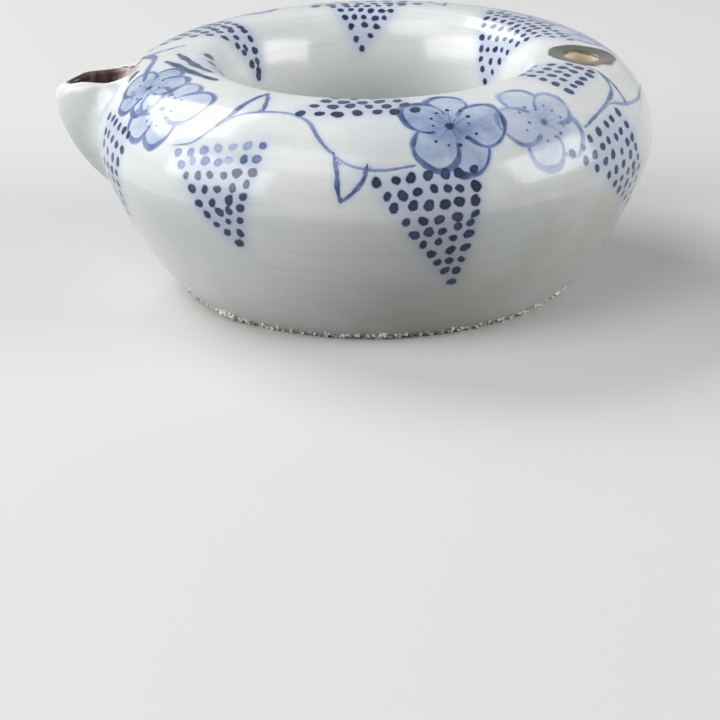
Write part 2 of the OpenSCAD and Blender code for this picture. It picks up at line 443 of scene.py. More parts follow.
@dataclass
class Painting:
    """The whole ornament: dotted triangles outside and inside, and a scroll of blossoms between."""

    section: RingSection
    panels: tuple[DotPanel, ...] = (
        DotPanel((-44.0, 41.8), (-24.0, 46.2), (-28.6, 25.8), 9, glare_paled_rows=2),
        DotPanel((0.8, 40.2), (20.6, 41.4), (17.0, 17.8), 10, dot=0.98),
        DotPanel((43.8, 40.6), (64.0, 44.2), (70.5, 23.5), 9, dot=0.86, tone=0.9),
        DotPanel((96.0, 42.0), (113.0, 42.6), (103.0, 23.5), 8),
        DotPanel((136.0, 39.8), (157.4, 41.8), (159.0, 17.2), 10, tone=0.97),
        DotPanel((183.8, 40.2), (205.6, 38.8), (196.0, 17.0), 9, dot=1.02),
        DotPanel((221.8, 34.9), (247.5, 32.8), (234.6, 8.8), 13, dot=0.88, pitch=2.35),
        DotPanel((283.5, 41.6), (297.5, 41.4), (291.0, 22.5), 8, dot=0.9),
        DotPanel((-18.6, 54.6), (10.6, 56.0), (-2.0, 74.5), 8, dot=1.02, pitch=3.3),
        DotPanel((55.5, 52.4), (79.0, 53.2), (55.6, 72.0), 8, dot=0.9, pitch=2.6),
        DotPanel((99.0, 58.2), (140.5, 59.6), (126.6, 76.8), 9, dot=0.72, pitch=2.3),
        DotPanel((171.0, 61.8), (194.0, 61.8), (185.8, 72.8), 6, dot=0.70, pitch=2.15),
        DotPanel((166.3, 60.4), (199.0, 59.6), (188.5, 48.6), 5, dot=1.02, pitch=3.1),
        DotPanel((231.5, 57.2), (255.0, 50.6), (237.5, 75.4), 10, dot=0.88, pitch=2.5),
        DotPanel((-90.0, 64.6), (-54.0, 67.0), (-64.0, 75.4), 4, dot=1.05, pitch=3.6),
    )
    blossoms_odd: tuple[Blossom, ...] = (
        Blossom((-69.6, 50.8), 7.8, 40.0, 0.9),
        Blossom((17.8, 50.4), 9.1, 4.0, 1.0, 1.16, (1.1, 0.94, 0.96, 0.98, 0.96)),
        Blossom((109.0, 50.4), 9.0, 70.0, 0.8),
        Blossom((213.5, 48.1), 10.0, -2.0, 1.12, 1.0, (0.93, 1.05, 0.86, 1.12, 1.02)),
    )
    blossoms_even: tuple[Blossom, ...] = (
        Blossom((-56.8, 48.8), 8.2, 20.0, 0.8, 1.05, (1.2, 0.94, 0.9, 1.0, 0.98)),
        Blossom((40.4, 47.8), 8.4, 28.0, 0.66, 1.12, (0.92, 1.04, 1.06, 1.0, 0.98)),
        Blossom((131.6, 51.0), 9.8, 12.0, 0.75),
        Blossom((235.8, 43.6), 11.0, 0.0, 0.86, 1.0, (1.0, 1.08, 0.88, 0.98, 1.03)),
    )
    strokes: tuple[Stroke, ...] = (
        Stroke(((-46, 43.0), (-41, 44.6), (-37, 49.0), (-33.5, 52.2), (-28, 54.0), (-21, 54.3),
                (-15.5, 52.3), (-12, 48.4), (-9, 45.8), (-5, 43.4), (1, 42.4), (8, 43.0)), 0.72, 0.52),
        Stroke(((-37.5, 48.6), (-36, 51.6), (-34.6, 57.5), (-33.4, 61.0)), 1.05, 0.72),
        Stroke(((-33.6, 61.0), (-30.8, 58.4), (-29.2, 55.6), (-28.6, 54.0)), 0.85, 0.66),
        Stroke(((-8.4, 45.6), (-7.4, 42.0), (-7.2, 39.4), (-6.6, 36.8)), 0.95, 0.74),
        Stroke(((-6.6, 36.8), (-4.0, 38.6), (-2.0, 41.0), (-1.4, 43.2)), 0.85, 0.68),
        Stroke(((50.5, 44.4), (56.0, 45.6), (64.5, 47.0), (69.5, 48.2), (72.8, 50.6),
                (74.8, 52.6)), 0.85, 0.56),
        Stroke(((74.8, 52.6), (72.5, 48.6), (70.4, 44.6)), 0.8, 0.62),
        Stroke(((58.0, 45.8), (64.0, 46.2), (70.0, 44.4), (78.0, 43.2), (86.0, 43.2),
                (92.0, 42.4)), 0.7, 0.44),
        Stroke(((139.0, 44.6), (146.0, 45.6), (154.5, 47.4), (160.0, 52.0), (165.5, 54.2), (172.7, 53.6),
                (178.0, 50.6), (182.0, 47.3), (189.0, 42.4), (198.0, 40.5), (203.5, 41.6)), 0.8, 0.56),
        Stroke(((154.0, 47.4), (157.6, 50.0), (158.8, 55.0), (157.2, 60.2)), 1.0, 0.66),
        Stroke(((157.2, 60.2), (161.5, 58.8), (164.2, 56.4), (163.6, 54.0)), 0.8, 0.56),
        Stroke(((182.0, 47.6), (186.5, 46.8), (190.0, 47.2), (193.0, 50.2)), 0.9, 0.66),
        Stroke(((181.0, 48.6), (185.0, 44.8), (189.5, 43.4), (192.8, 46.4), (193.0, 50.2)), 1.0, 0.7),
        Stroke(((243.5, 40.1), (249.8, 42.4), (255.5, 45.5), (259.5, 48.2), (262.5, 51.0), (266.5, 53.2),
                (271.0, 54.0), (277.0, 52.8), (284.0, 51.2)), 1.6, 0.62),
        Stroke(((260.8, 58.8), (263.0, 56.2), (263.6, 53.8), (261.8, 50.6)), 0.9, 0.62),
        Stroke(((157.0, 47.4), (160.5, 44.6), (162.2, 41.3)), 0.9, 0.22),
        Stroke(((162.2, 41.3), (158.2, 42.4), (154.0, 43.9)), 0.9, 0.22),
        Stroke(((-84.0, 56.4), (-77.8, 58.0), (-71.0, 59.1), (-65.0, 59.9),
                (-57.0, 60.9)), 1.5, 0.88, 0.55),
        Stroke(((-89.5, 58.7), (-82.0, 60.3), (-74.0, 61.4), (-66.5, 62.7)), 1.5, 0.84, 0.55),
    )
    stains: tuple[tuple[tuple[float, float], tuple[float, float], float], ...] = (
        ((42.0, 22.0), (24.0, 12.0), 0.95),
        ((30.0, 34.0), (16.0, 7.0), 0.5),
        ((5.0, 8.0), (30.0, 8.0), 0.4),
        ((200.0, 9.0), (40.0, 8.0), 0.45),
        ((262.0, 22.0), (14.0, 14.0), 0.35),
        ((84.0, 50.0), (9.0, 9.0), 0.3),
    )
    mouth_out: float = 44.4
    mouth_run: float = 6.4
    mouth_half: float = 4.0
    mouth_low: float = 34.0
    mouth_high: float = 56.0
    dot_reach: float = 4.0
    stroke_reach: float = 3.0
    bloom_r: float = 1.9

    def __post_init__(self) -> None:
        """Tabulates the ring's radius along the section and places every dot."""
        section = self.section
        _, low = section.arc_table(section.lower)
        _, high = section.arc_table(section.upper)
        _, deep = section.arc_table(section.well)
        t = np.linspace(0, math.pi / 2, TABLE)
        self.arcs = np.concatenate([low, low[-1] + high, low[-1] + high[-1] + deep])
        self.radii = np.concatenate([section.lower(t)[:, 0], section.upper(t)[:, 0], section.well(t)[:, 0]])
        rng = np.random.default_rng(SEED)
        self.placed = [(panel, panel.dots(self.radius_at, rng)) for panel in self.panels]

    def radius_at(self, arc: np.ndarray) -> np.ndarray:
        """Radius of the ring at a distance along its section."""
        return np.interp(arc, self.arcs, self.radii)

    @staticmethod
    def offset(turn: np.ndarray, centre: np.ndarray) -> np.ndarray:
        """Angle from centre to turn in radians, between half a turn back and half a turn on."""
        return np.radians((turn - centre + 180) % 360 - 180)

    def near(self, turn: np.ndarray, arc: np.ndarray, spots: np.ndarray, reach: float) -> np.ndarray:
        """Numbers of the points within reach of the box that holds some spots.

        The first two columns of spots are turn and arc, and reach is in millimetres.
        """
        middle = (spots[:, 0].min() + spots[:, 0].max()) / 2
        half = (spots[:, 0].max() - spots[:, 0].min()) / 2 + math.degrees(reach / self.section.well_r)
        inside = np.abs(np.degrees(self.offset(turn, middle))) < half
        inside &= (arc > spots[:, 1].min() - reach) & (arc < spots[:, 1].max() + reach)
        return np.flatnonzero(inside)

    def dot_field(self, turn: np.ndarray, arc: np.ndarray) -> np.ndarray:
        """Distance to the nearest dot's edge, its tone, and a soft bloom of colour round the dots.

        A dot is a disc stretched by 9% along its lean. The bloom is a sum of bell curves, one a dot.
        """
        out = np.zeros((len(turn), 3))
        out[:, 0] = FAR
        radius = self.radius_at(arc)
        for _, dots in self.placed:
            pick = self.near(turn, arc, dots, self.dot_reach)
            if not len(pick):
                continue
            dx = self.offset(turn[pick, None], dots[None, :, 0]) * radius[pick, None]
            dy = arc[pick, None] - dots[None, :, 1]
            away = np.hypot(dx, dy)
            lean = np.arctan2(dy, dx) - dots[None, :, 4]
            edge = away - dots[None, :, 2] * (1 + 0.09 * np.cos(2 * lean) + 0.03 * np.cos(3 * lean))
            first = edge.argmin(1)
            row = np.arange(len(pick))
            closer = edge[row, first] < out[pick, 0]
            out[pick[closer], 0] = edge[row, first][closer]
            out[pick[closer], 1] = dots[first[closer], 3]
            bloom = (np.exp(-((away / self.bloom_r) ** 2)) * dots[None, :, 3]).sum(1)
            out[pick, 2] = np.maximum(out[pick, 2], np.clip(bloom, 0, 1.3))
        return out

    def stroke_field(self, turn: np.ndarray, arc: np.ndarray) -> tuple[np.ndarray, np.ndarray]:
        """Signed and plain distance to the nearest stroke's middle line, its half width, and its tone.

        The distance is taken to each straight piece of the path, in the surface's own plane. The sign
        tells the two sides of the stroke apart, so that the middle line stays true between points.

        Returns:
            Array (n, 3) of both distances and the half width, and array (n,) of tones.
        """
        out = np.zeros((len(turn), 3))
        out[:, :2] = FAR
        tone = np.zeros(len(turn))
        radius = self.radius_at(arc)
        for stroke in self.strokes:
            path, half, ink = stroke.path()
            pick = self.near(turn, arc, path, self.stroke_reach)
            if not len(pick):
                continue
            x = self.offset(path[None, :, 0], turn[pick, None]) * radius[pick, None]
            y = path[None, :, 1] - arc[pick, None]
            ax, ay, bx, by = x[:, :-1], y[:, :-1], x[:, 1:], y[:, 1:]
            ex, ey = bx - ax, by - ay
            share = np.clip(-(ax * ex + ay * ey) / (ex**2 + ey**2 + 1e-9), 0, 1)
            away = np.hypot(ax + share * ex, ay + share * ey)
            first = away.argmin(1)
            row = np.arange(len(pick))
            plain = away[row, first]
            side = np.sign((ax * ey - ay * ex)[row, first])
            closer = plain < out[pick, 1]
            chosen = pick[closer]
            out[chosen, 0] = (plain * side)[closer]
            out[chosen, 1] = plain[closer]
            out[chosen, 2] = half[first][closer]
            tone[chosen] = ink[first][closer]
        return out, tone

    def blossom_field(self, blossoms: tuple[Blossom, ...], turn: np.ndarray,
                      arc: np.ndarray) -> tuple[np.ndarray, np.ndarray]:
        """Petal distances, and the place in the nearest blossom.

        Returns:
            Array (n, 3) of petal distances, and array (n, 3) of right, up (both in radii) and tone.
        """
        petals = np.full((len(turn), 3), FAR)
        place = np.zeros((len(turn), 3))
        place[:, :2] = FAR
        radius = self.radius_at(arc)
        for blossom in blossoms:
            reach = 1.5 * blossom.radius
            pick = self.near(turn, arc, np.array([blossom.centre]), reach)
            x = self.offset(turn[pick], blossom.centre[0]) * radius[pick]
            y = arc[pick] - blossom.centre[1]
            petals[pick] = blossom.petals(x, y)
            place[pick] = np.stack([x / blossom.radius, y / blossom.radius, 0 * x + blossom.tone], -1)
        return petals, place

    def mouth_root(self, turn: np.ndarray, arc: np.ndarray) -> np.ndarray:
        """1 on the shoulder behind the spout's mouth, where the iron lining runs on, and 0 elsewhere.

        The place is the oval half inside which the mouth's plan lies, feathered over 0.8 millimetres.
        """
        radius = self.radius_at(arc)
        angle = np.radians(turn)
        out, across = -radius * np.sin(angle), radius * np.cos(angle)
        share = np.clip((out - self.mouth_out) / self.mouth_run, 0, 1)
        inside = self.mouth_half * np.sqrt(1 - (1 - share) ** 2) - np.abs(across)
        painted = smooth_step(-0.45, 0.35, inside)
        painted = painted * smooth_step(self.mouth_out - 0.5, self.mouth_out + 0.3, out)
        return np.where((arc > self.mouth_low) & (arc < self.mouth_high), painted, 0.0)

    def stain(self, turn: np.ndarray, arc: np.ndarray) -> np.ndarray:
        """Warmth that the kiln left, a sum of soft oval patches, each a bell curve."""
        out = np.zeros(len(turn))
        for place, (half_turn, half_arc), depth in self.stains:
            x = np.degrees(self.offset(turn, place[0])) / half_turn
            out += depth * np.exp(-(x**2) - ((arc - place[1]) / half_arc) ** 2)
        return np.where(arc < 0, 0.0, out)

    def dress(self, obj: bpy.types.Object, turn: np.ndarray, arc: np.ndarray) -> None:
        """Writes every field of the ornament on a piece.

        Args:
            obj: The piece.
            turn: Angle of each of its points.
            arc: Distance along the section of each of its points.
        """
        strokes, tone = self.stroke_field(turn, arc)
        set_field(obj, "dots", self.dot_field(turn, arc))
        set_field(obj, "strokes", strokes)
        set_field(obj, "stroke_tone", tone)
        set_field(obj, "mouth", self.mouth_root(turn, arc))
        set_field(obj, "stain", self.stain(turn, arc))
        for name, blossoms in (("odd", self.blossoms_odd), ("even", self.blossoms_even)):
            petals, place = self.blossom_field(blossoms, turn, arc)
            set_field(obj, f"petals_{name}", petals)
            set_field(obj, f"place_{name}", place)


# The turned members


@dataclass
class Member:
    """A turned clay member of the ring, which stands for the CAD node of the same name."""

    section: RingSection
    painting: Painting
    name: str = "member"

    @property
    def turns(self) -> np.ndarray:
        """Angles of the columns, evenly round the ring."""
        return np.arange(COLUMNS) * 360.0 / COLUMNS

    def claim(self, obj: bpy.types.Object, slot: str) -> bpy.types.Object:
        """Makes a piece stand for this member's node and ride on the body."""
        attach(obj, BODY)
        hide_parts(self.name)
        LOG.info("%s: %d points, %d faces", obj.name, len(obj.data.vertices), len(obj.data.polygons))
        return obj


@dataclass(frozen=True)
class RoundCut:
    """A round hole through the shell, by a point on its axis, the axis and the radius."""

    centre: np.ndarray
    axis: np.ndarray
    radius: float
    reach: float = 12.0

    def from_axis(self, points: np.ndarray) -> tuple[np.ndarray, np.ndarray]:
        """Distance of points from the axis, and the direction away from it.

        Points further along the axis than reach count as ten times reach away.
        """
        offset = points - self.centre
        along = offset @ self.axis
        away = offset - along[..., None] * self.axis
        distance = np.linalg.norm(away, axis=-1)
        far = np.abs(along) > self.reach
        return np.where(far, 10 * self.reach, distance), away / np.maximum(distance, 1e-6)[..., None]


@dataclass
class Shell(Member):
    """A member of even wall, made as an outer and an inner skin whose points pair up one to one.

    Where a hole is cut, the paired cells of both skins go, and every edge that is left with one cell
    gets a wall face between the skins, so the shell is closed at its rims and round its holes.
    """

    cuts: tuple[RoundCut, ...] = ()

    def skins(self) -> tuple[np.ndarray, np.ndarray, np.ndarray]:
        """Outer half section, inner half section and arc of each row."""
        raise NotImplementedError

    def build(self) -> tuple[bpy.types.Object, np.ndarray, np.ndarray]:
        """Builds the closed shell.

        Returns:
            The object, and the turn and arc of each of its points; inner points have arc BARE.
        """
        outer_half, inner_half, arcs = self.skins()
        outer, inner = spin(outer_half, self.turns), spin(inner_half, self.turns)
        rows, cols = outer.shape[:2]
        keep = np.ones((rows - 1, cols), bool)
        for cut in self.cuts:
            middle = (outer + np.roll(outer, -1, 1)) / 2
            distance, _ = cut.from_axis((middle[:-1] + middle[1:]) / 2)
            hole = distance < cut.radius
            keep &= ~hole
            self.round_edge(cut, hole, outer, inner)
        count = rows * cols
        cells = wrap_quads(rows, cols, False, True)[keep.reshape(-1)]
        walls = self.wall_faces(keep, count)
        quads = np.concatenate([cells, cells[:, ::-1] + count, walls])
        points = np.concatenate([outer.reshape(-1, 3), inner.reshape(-1, 3)])
        used, quads = np.unique(quads, return_inverse=True)
        obj = new_object(f"{self.name}_glazed", points[used], quads.reshape(-1, 4))
        turn = np.tile(np.broadcast_to(self.turns[None, :], (rows, cols)).reshape(-1), 2)[used]
        arc = np.concatenate([np.repeat(arcs, cols), np.full(count, BARE)])[used]
        return obj, turn, arc

    @staticmethod
    def round_edge(cut: RoundCut, hole: np.ndarray, outer: np.ndarray, inner: np.ndarray) -> None:
        """Slides the points on the stepped edge of a hole along to the true circle, in place."""
        padded = np.zeros((hole.shape[0] + 2, hole.shape[1]), bool)
        padded[1:-1] = hole
        full = np.stack([padded[:-1], padded[1:], np.roll(padded[:-1], 1, 1), np.roll(padded[1:], 1, 1)])
        edge = full.any(0) & ~full.all(0)
        edge[0] &= ~(full[1] & full[3])[0]
        edge[-1] &= ~(full[0] & full[2])[-1]
        for skin in (outer, inner):
            distance, away = cut.from_axis(skin)
            shift = np.where(edge & (distance < 2 * cut.radius), cut.radius - distance, 0.0)
            skin += shift[..., None] * away

    @staticmethod
    def wall_faces(keep: np.ndarray, count: int) -> np.ndarray:
        """Faces between the skins along each edge that has a kept cell on one side only.

        Args:
            keep: Array (rows - 1, cols) of the kept cells.
            count: Number of points in one skin.

        Returns:
            Array (m, 4) of point numbers.
        """
        cols = keep.shape[1]
        padded = np.zeros((keep.shape[0] + 2, cols), bool)
        padded[1:-1] = keep
        number = np.arange((keep.shape[0] + 1) * cols).reshape(-1, cols)
        nxt = np.roll(number, -1, 1)
        below, above = padded[:-1], padded[1:]
        left, right = np.roll(keep, 1, 1), keep
        runs = []
        for first, second, pick in ((number, nxt, above & ~below), (nxt, number, below & ~above)):
            runs.append(np.stack([first[pick], second[pick]], -1))
        lower, upper = number[:-1], number[1:]
        for first, second, pick in ((upper, lower, right & ~left), (lower, upper, left & ~right)):
            runs.append(np.stack([first[pick], second[pick]], -1))
        edge = np.concatenate(runs)
        return np.stack([edge[:, 1], edge[:, 0], edge[:, 0] + count, edge[:, 1] + count], -1)


@dataclass
class OuterWall(Shell):
    """The thrown lower wall, from the foot to the belly."""

    name: str = "outer_wall"
    row_step: float = 0.5

    def skins(self) -> tuple[np.ndarray, np.ndarray, np.ndarray]:
        """The lower curve and, for the same t, the chamber's curve inside it."""
        section = self.section
        t = section.even_t(section.lower, self.row_step, section.foot_t)
        inner_t = (t - t[0]) / (t[-1] - t[0]) * math.pi / 2
        table_t, table_arc = section.arc_table(section.lower)
        return section.lower(t), section.chamber(inner_t), np.interp(t, table_t, table_arc)


@dataclass
class Shoulder(Shell):
    """The thrown upper wall, from the belly to the crest, pierced for the inlet and the outlet."""

    name: str = "shoulder"

    def skins(self) -> tuple[np.ndarray, np.ndarray, np.ndarray]:
        """The upper curve and the same curve set in by the wall."""
        section = self.section
        t = section.even_t(section.upper, ROW_STEP)
        table_t, table_arc = section.arc_table(section.upper)
        arc = section.belly_arc + np.interp(t, table_t, table_arc)
        return section.upper(t), section.upper(t, section.wall), arc


@dataclass
class WellWall(Shell):
    """The wall round the open well, from the crest over the throat and straight down to the floor."""

    name: str = "well_wall"
    straight_step: float = 1.6

    def skins(self) -> tuple[np.ndarray, np.ndarray, np.ndarray]:
        """The well's curve and a straight tube below it, and the same set in by the wall."""
        section = self.section
        t = section.even_t(section.well, ROW_STEP)
        table_t, table_arc = section.arc_table(section.well)
        arc = section.crest_arc + np.interp(t, table_t, table_arc)
        drop = section.throat_z - section.floor_top
        down = np.linspace(0, drop, int(drop / self.straight_step) + 1)[1:]
        down = np.concatenate([down[:-1], [drop - 0.02, drop]])
        tube = np.stack([np.full_like(down, section.well_r), section.throat_z - down], -1)
        back = tube + np.array([section.wall, 0.0])
        outer = np.concatenate([section.well(t), tube])
        inner = np.concatenate([section.well(t, section.wall), back])
        return outer, inner, np.concatenate([arc, arc[-1] + down])


@dataclass
class TurnedBase(Member):
    """The low foot, or the floor of the chamber: a closed half section carried once round."""

    roughness: float = 0.0
    fill_step: float = 0.45

    def outline(self) -> np.ndarray:
        """Closed half section, counter-clockwise with the radius to the right and z up."""
        raise NotImplementedError

    @staticmethod
    def fill(corners: np.ndarray, step: float) -> np.ndarray:
        """Puts evenly spaced points on each side of a closed outline."""
        sides = []
        for start, end in zip(corners, np.roll(corners, -1, 0)):
            count = max(1, int(np.hypot(*(end - start)) / step))
            share = np.linspace(0, 1, count + 1)[:-1, None]
            sides.append(start + (end - start) * share)
        return np.concatenate(sides)

    def build(self, suffix: str) -> bpy.types.Object:
        """Carries the outline round and roughens it inwards with a seeded noise."""
        half = self.fill(self.outline(), self.fill_step)
        points = spin(half, self.turns)
        if self.roughness:
            rng = np.random.default_rng(SEED + 3)
            grain = rng.normal(0, 1, points.shape[:2])
            grain = (grain + np.roll(grain, 1, 1) + np.roll(grain, -1, 1) + np.roll(grain, 1, 0)) / 4
            centre = spin(np.tile(half.mean(0), (len(half), 1)), self.turns)
            points += (centre - points) * np.clip(grain, 0, 2)[..., None] * self.roughness
        quads = wrap_quads(points.shape[0], COLUMNS, True, True)
        return new_object(f"{self.name}_{suffix}", points.reshape(-1, 3), quads)


@dataclass
class FootRing(TurnedBase):
    """The bare foot that the dropper stands on."""

    name: str = "foot_ring"
    roughness: float = 0.07
    chamfer: float = 0.35

    def outline(self) -> np.ndarray:
        """Up the lower curve to the foot's height, in along its top and down its inner side."""
        section = self.section
        outer = section.lower(np.linspace(0, section.foot_t, 7))
        inner = section.foot_r - section.foot_w
        inside = [[inner, section.foot_h], [inner, self.chamfer], [inner + self.chamfer, 0.0]]
        return np.concatenate([outer, inside])


@dataclass
class FloorRing(TurnedBase):
    """The flat floor of the water chamber, rounded where it meets the well."""

    name: str = "floor_ring"

    def outline(self) -> np.ndarray:
        """From the outer wall along the underside, round the well's lower edge and back on top."""
        section = self.section
        edge = section.well_edge
        angle = np.radians(np.linspace(270, 180, 9))
        corner = np.array([section.well_r + edge, section.foot_h + edge])
        rounded = corner + edge * np.stack([np.cos(angle), np.sin(angle)], -1)
        top = [[section.well_r, section.floor_top], [section.floor_r, section.floor_top]]
        return np.concatenate([rounded, top, [[section.floor_r, section.foot_h]]])[::-1]


# The spout


@dataclass
class Spout(Member):
    """The pinched beak: a loft of rounded plans from keel to nose, rolled over a soft lip into a pocket.

    The plan at height z runs from the body's wall to reach(z), as a superellipse of the angle a. At
    distance d from the body each point slides along the body's surface by R - sqrt(R^2 - (R - d)^2),
    the profile of a round fillet of radius R, which gives the luted root its hollow curve.
    """

    name: str = "spout_shell"
    nose_r: float = 60.5
    width: float = 12.4
    wall_t: float = 2.2
    lip_wall: float = 1.5
    nose_wall: float = 3.1
    lip_z: float = 40.3
    nose_z: float = 36.3
    keel_z: float = 19.2
    nose_run: float = 4.0
    nose_drop: float = 0.9
    keel_power: float = 1.5
    narrowing: float = 3.0
    keel_half: float = 0.25
    pocket_z: float = 25.3
    back: float = 2.9
    keel_sink: float = 0.5
    plan_power: float = 1.9
    fillet: float = 3.2
    edge_sink: float = 0.15
    lip_round: float = 0.7
    lip_centre: float = 4.0
    lip_power: float = 2.1
    side_power: float = 0.7
    narrowest: float = 0.06
    columns: int = 161
    column_power: float = 1.15
    keel_rows: int = 46
    lip_rows: int = 29
    fold_rows: int = 6
    pocket_rows: int = 25
    fade_rows: int = 7
    lining_rows: tuple[float, float] = (-6.0, 2.0)
    painted_lift: float = 0.8

    @classmethod
    def from_frame(cls, section: RingSection, painting: Painting) -> "Spout":
        """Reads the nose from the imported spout's box."""
        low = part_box("spout_shell")[0]
        return cls(section, painting, nose_r=-low.x / MM - 0.01)

    @property
    def outside(self) -> int:
        """Number of rows on the outside, from the keel to the lip's brink."""
        return self.keel_rows + self.lip_rows

    @property
    def lip_rise(self) -> float:
        """How far the lip climbs from the nose to the root of the mouth."""
        return float(self.section.shoulder_z(np.array(self.painting.mouth_out))) - self.lip_z

    def reach(self, z: np.ndarray) -> np.ndarray:
        """How far the beak stands out at height z, below its nose."""
        start = self.section.body_r(np.array(self.keel_z)) - self.keel_sink
        share = np.clip((self.nose_z - z) / (self.nose_z - self.keel_z), 0, 1)
        return start + (self.nose_r - start) * (1 - share**self.keel_power) ** (1 / self.keel_power)

    def half_width(self, z: np.ndarray) -> np.ndarray:
        """Half the beak's width at height z: it narrows towards the keel by a power of the depth."""
        depth = np.clip((self.lip_z - z) / (self.lip_z - self.keel_z), 0, 1)
        return np.maximum(self.keel_half, self.width / 2 * (1 - depth**self.narrowing))

    def root_share(self, x: np.ndarray) -> np.ndarray:
        """1 at the root of the mouth and 0 where the lip has levelled out."""
        run = self.painting.mouth_run
        return np.clip((self.painting.mouth_out + run - x) / run, 0, 1)

    def plan(self, z: np.ndarray, reach: np.ndarray, half: np.ndarray, angle: np.ndarray) -> np.ndarray:
        """Rounded plan at height z, for columns of angle from -90 to 90 degrees.

        Args:
            z: Array (n,) of heights.
            reach: Array (n,) of the plan's furthest radius.
            half: Array (n,) of its half width.
            angle: Array (m,) in radians.

        Returns:
            Array (n, m, 2) of distance out and distance across.
        """
        start = (self.section.body_r(np.minimum(z, self.lip_z)) - self.back)[:, None]
        along = np.clip(np.cos(angle), 0, 1) ** (2 / self.plan_power)
        across = np.sign(angle) * np.abs(np.sin(angle)) ** (2 / self.plan_power)
        out = start + (reach[:, None] - start) * along[None, :]
        return np.stack([out, half[:, None] * across[None, :]], -1)

    def surface(self) -> np.ndarray:
        """Rows from the keel up to the nose, over the lip, down the pocket and back along the wall.

        Returns:
            Array (rows, columns, 3) of distance out, distance across and height.
        """
        turn = np.linspace(-1, 1, self.columns)
        angle = np.sign(turn) * (math.pi / 2) * np.abs(turn) ** self.column_power
        climb = np.sin(np.linspace(0, math.pi / 2, self.keel_rows))
        low_z = self.keel_z + (self.nose_z - self.keel_z) * climb
        low = self.plan(low_z, self.reach(low_z), self.half_width(low_z), angle)
        outer = np.concatenate([low, np.broadcast_to(low_z[:, None, None], (*low.shape[:2], 1))], -1)
        flat = np.array([self.lip_z])
        pocket_nose = self.nose_r - self.nose_wall
        mouth_half = self.half_width(flat) - self.lip_wall
        mouth = self.plan(flat, np.array([pocket_nose]), mouth_half, angle)[0]
        narrow = np.sqrt(1 - self.root_share(mouth[:, 0]) ** 2)
        mouth[:, 1] *= np.maximum(self.narrowest, narrow)
        nose = smooth_step(pocket_nose - self.nose_run, pocket_nose, mouth[:, 0])
        edge_z = self.lip_z + self.lip_rise * self.root_share(mouth[:, 0]) ** 2 - self.nose_drop * nose
        away = mouth - np.array([self.painting.mouth_out + self.lip_centre, 0.0])
        away /= np.linalg.norm(away, axis=-1)[:, None]
        brink = mouth + self.lip_round * away
        phi = np.linspace(0, math.pi / 2, self.lip_rows + 1)[1:, None]
        power = 2 / (self.lip_power + self.side_power * (1 - nose))[None, :]
        share = 1 - np.clip(np.cos(phi), 0, 1) ** power
        rise = np.sin(phi) ** power
        start = outer[-1]
        top = start[None, :, :2] + (brink - start[:, :2])[None] * share[..., None]
        top_z = start[None, :, 2] + (edge_z - start[:, 2])[None] * rise
        roll = np.linspace(0, math.pi / 2, self.fold_rows + 1)[1:, None]
        fold = brink[None] + (mouth - brink)[None] * np.sin(roll)[..., None]
        fold_z = edge_z[None] - self.lip_round * (1 - np.cos(roll))
        depth = np.linspace(0, 1, self.pocket_rows + 1)[1:]
        drop = (self.pocket_z - edge_z + self.lip_round)[None]
        wall_z = edge_z[None] - self.lip_round + drop * depth[:, None]
        level = self.lip_z + (self.pocket_z - self.lip_z) * depth
        side_wall = self.lip_wall + (self.wall_t - self.lip_wall) * smooth_step(0.0, 0.35, depth)
        inside = self.plan(level, self.reach(np.minimum(level, self.nose_z)) - self.nose_wall,
                           self.half_width(level) - side_wall, angle)
        narrow = np.sqrt(1 - self.root_share(inside[..., 0]) ** 2)
        inside[..., 1] *= np.maximum(self.narrowest, narrow)
        back_z = np.array([self.pocket_z - 0.05, self.keel_z])
        back_reach = self.section.body_r(back_z) - self.back
        hind = self.plan(back_z, back_reach, self.half_width(back_z), angle)
        hind_z = np.broadcast_to(back_z[:, None, None], (*hind.shape[:2], 1))
        stack = [outer]
        for flat_rows, height in ((top, top_z), (fold, fold_z), (inside, wall_z)):
            stack.append(np.concatenate([flat_rows, height[..., None]], -1))
        stack.append(np.concatenate([hind, hind_z], -1))
        return np.concatenate(stack)

    def lift(self, points: np.ndarray) -> tuple[np.ndarray, np.ndarray]:
        """Distance of points from the body, and the body's outward direction beside them.

        With R(z) the body's radius and R' its slope, the distance is (r - R) / sqrt(1 + R'^2), and the
        direction is the radial one less R' times up, at unit length.

        Args:
            points: Array (..., 3) with the ring's axis at x = y = 0.

        Returns:
            Array (...) of distances, negative inside the body, and array (..., 3) of directions.
        """
        height = np.minimum(points[..., 2], self.section.crest_z - 0.1)
        step = 0.05
        body_r = self.section.body_r
        slope = (body_r(height + step) - body_r(height - step)) / (2 * step)
        x, y = points[..., 0], points[..., 1]
        radius = np.hypot(x, y)
        steep = np.sqrt(1 + slope**2)
        outward = np.stack([x / radius, y / radius, -slope], -1) / steep[..., None]
        return (radius - body_r(height)) / steep, outward

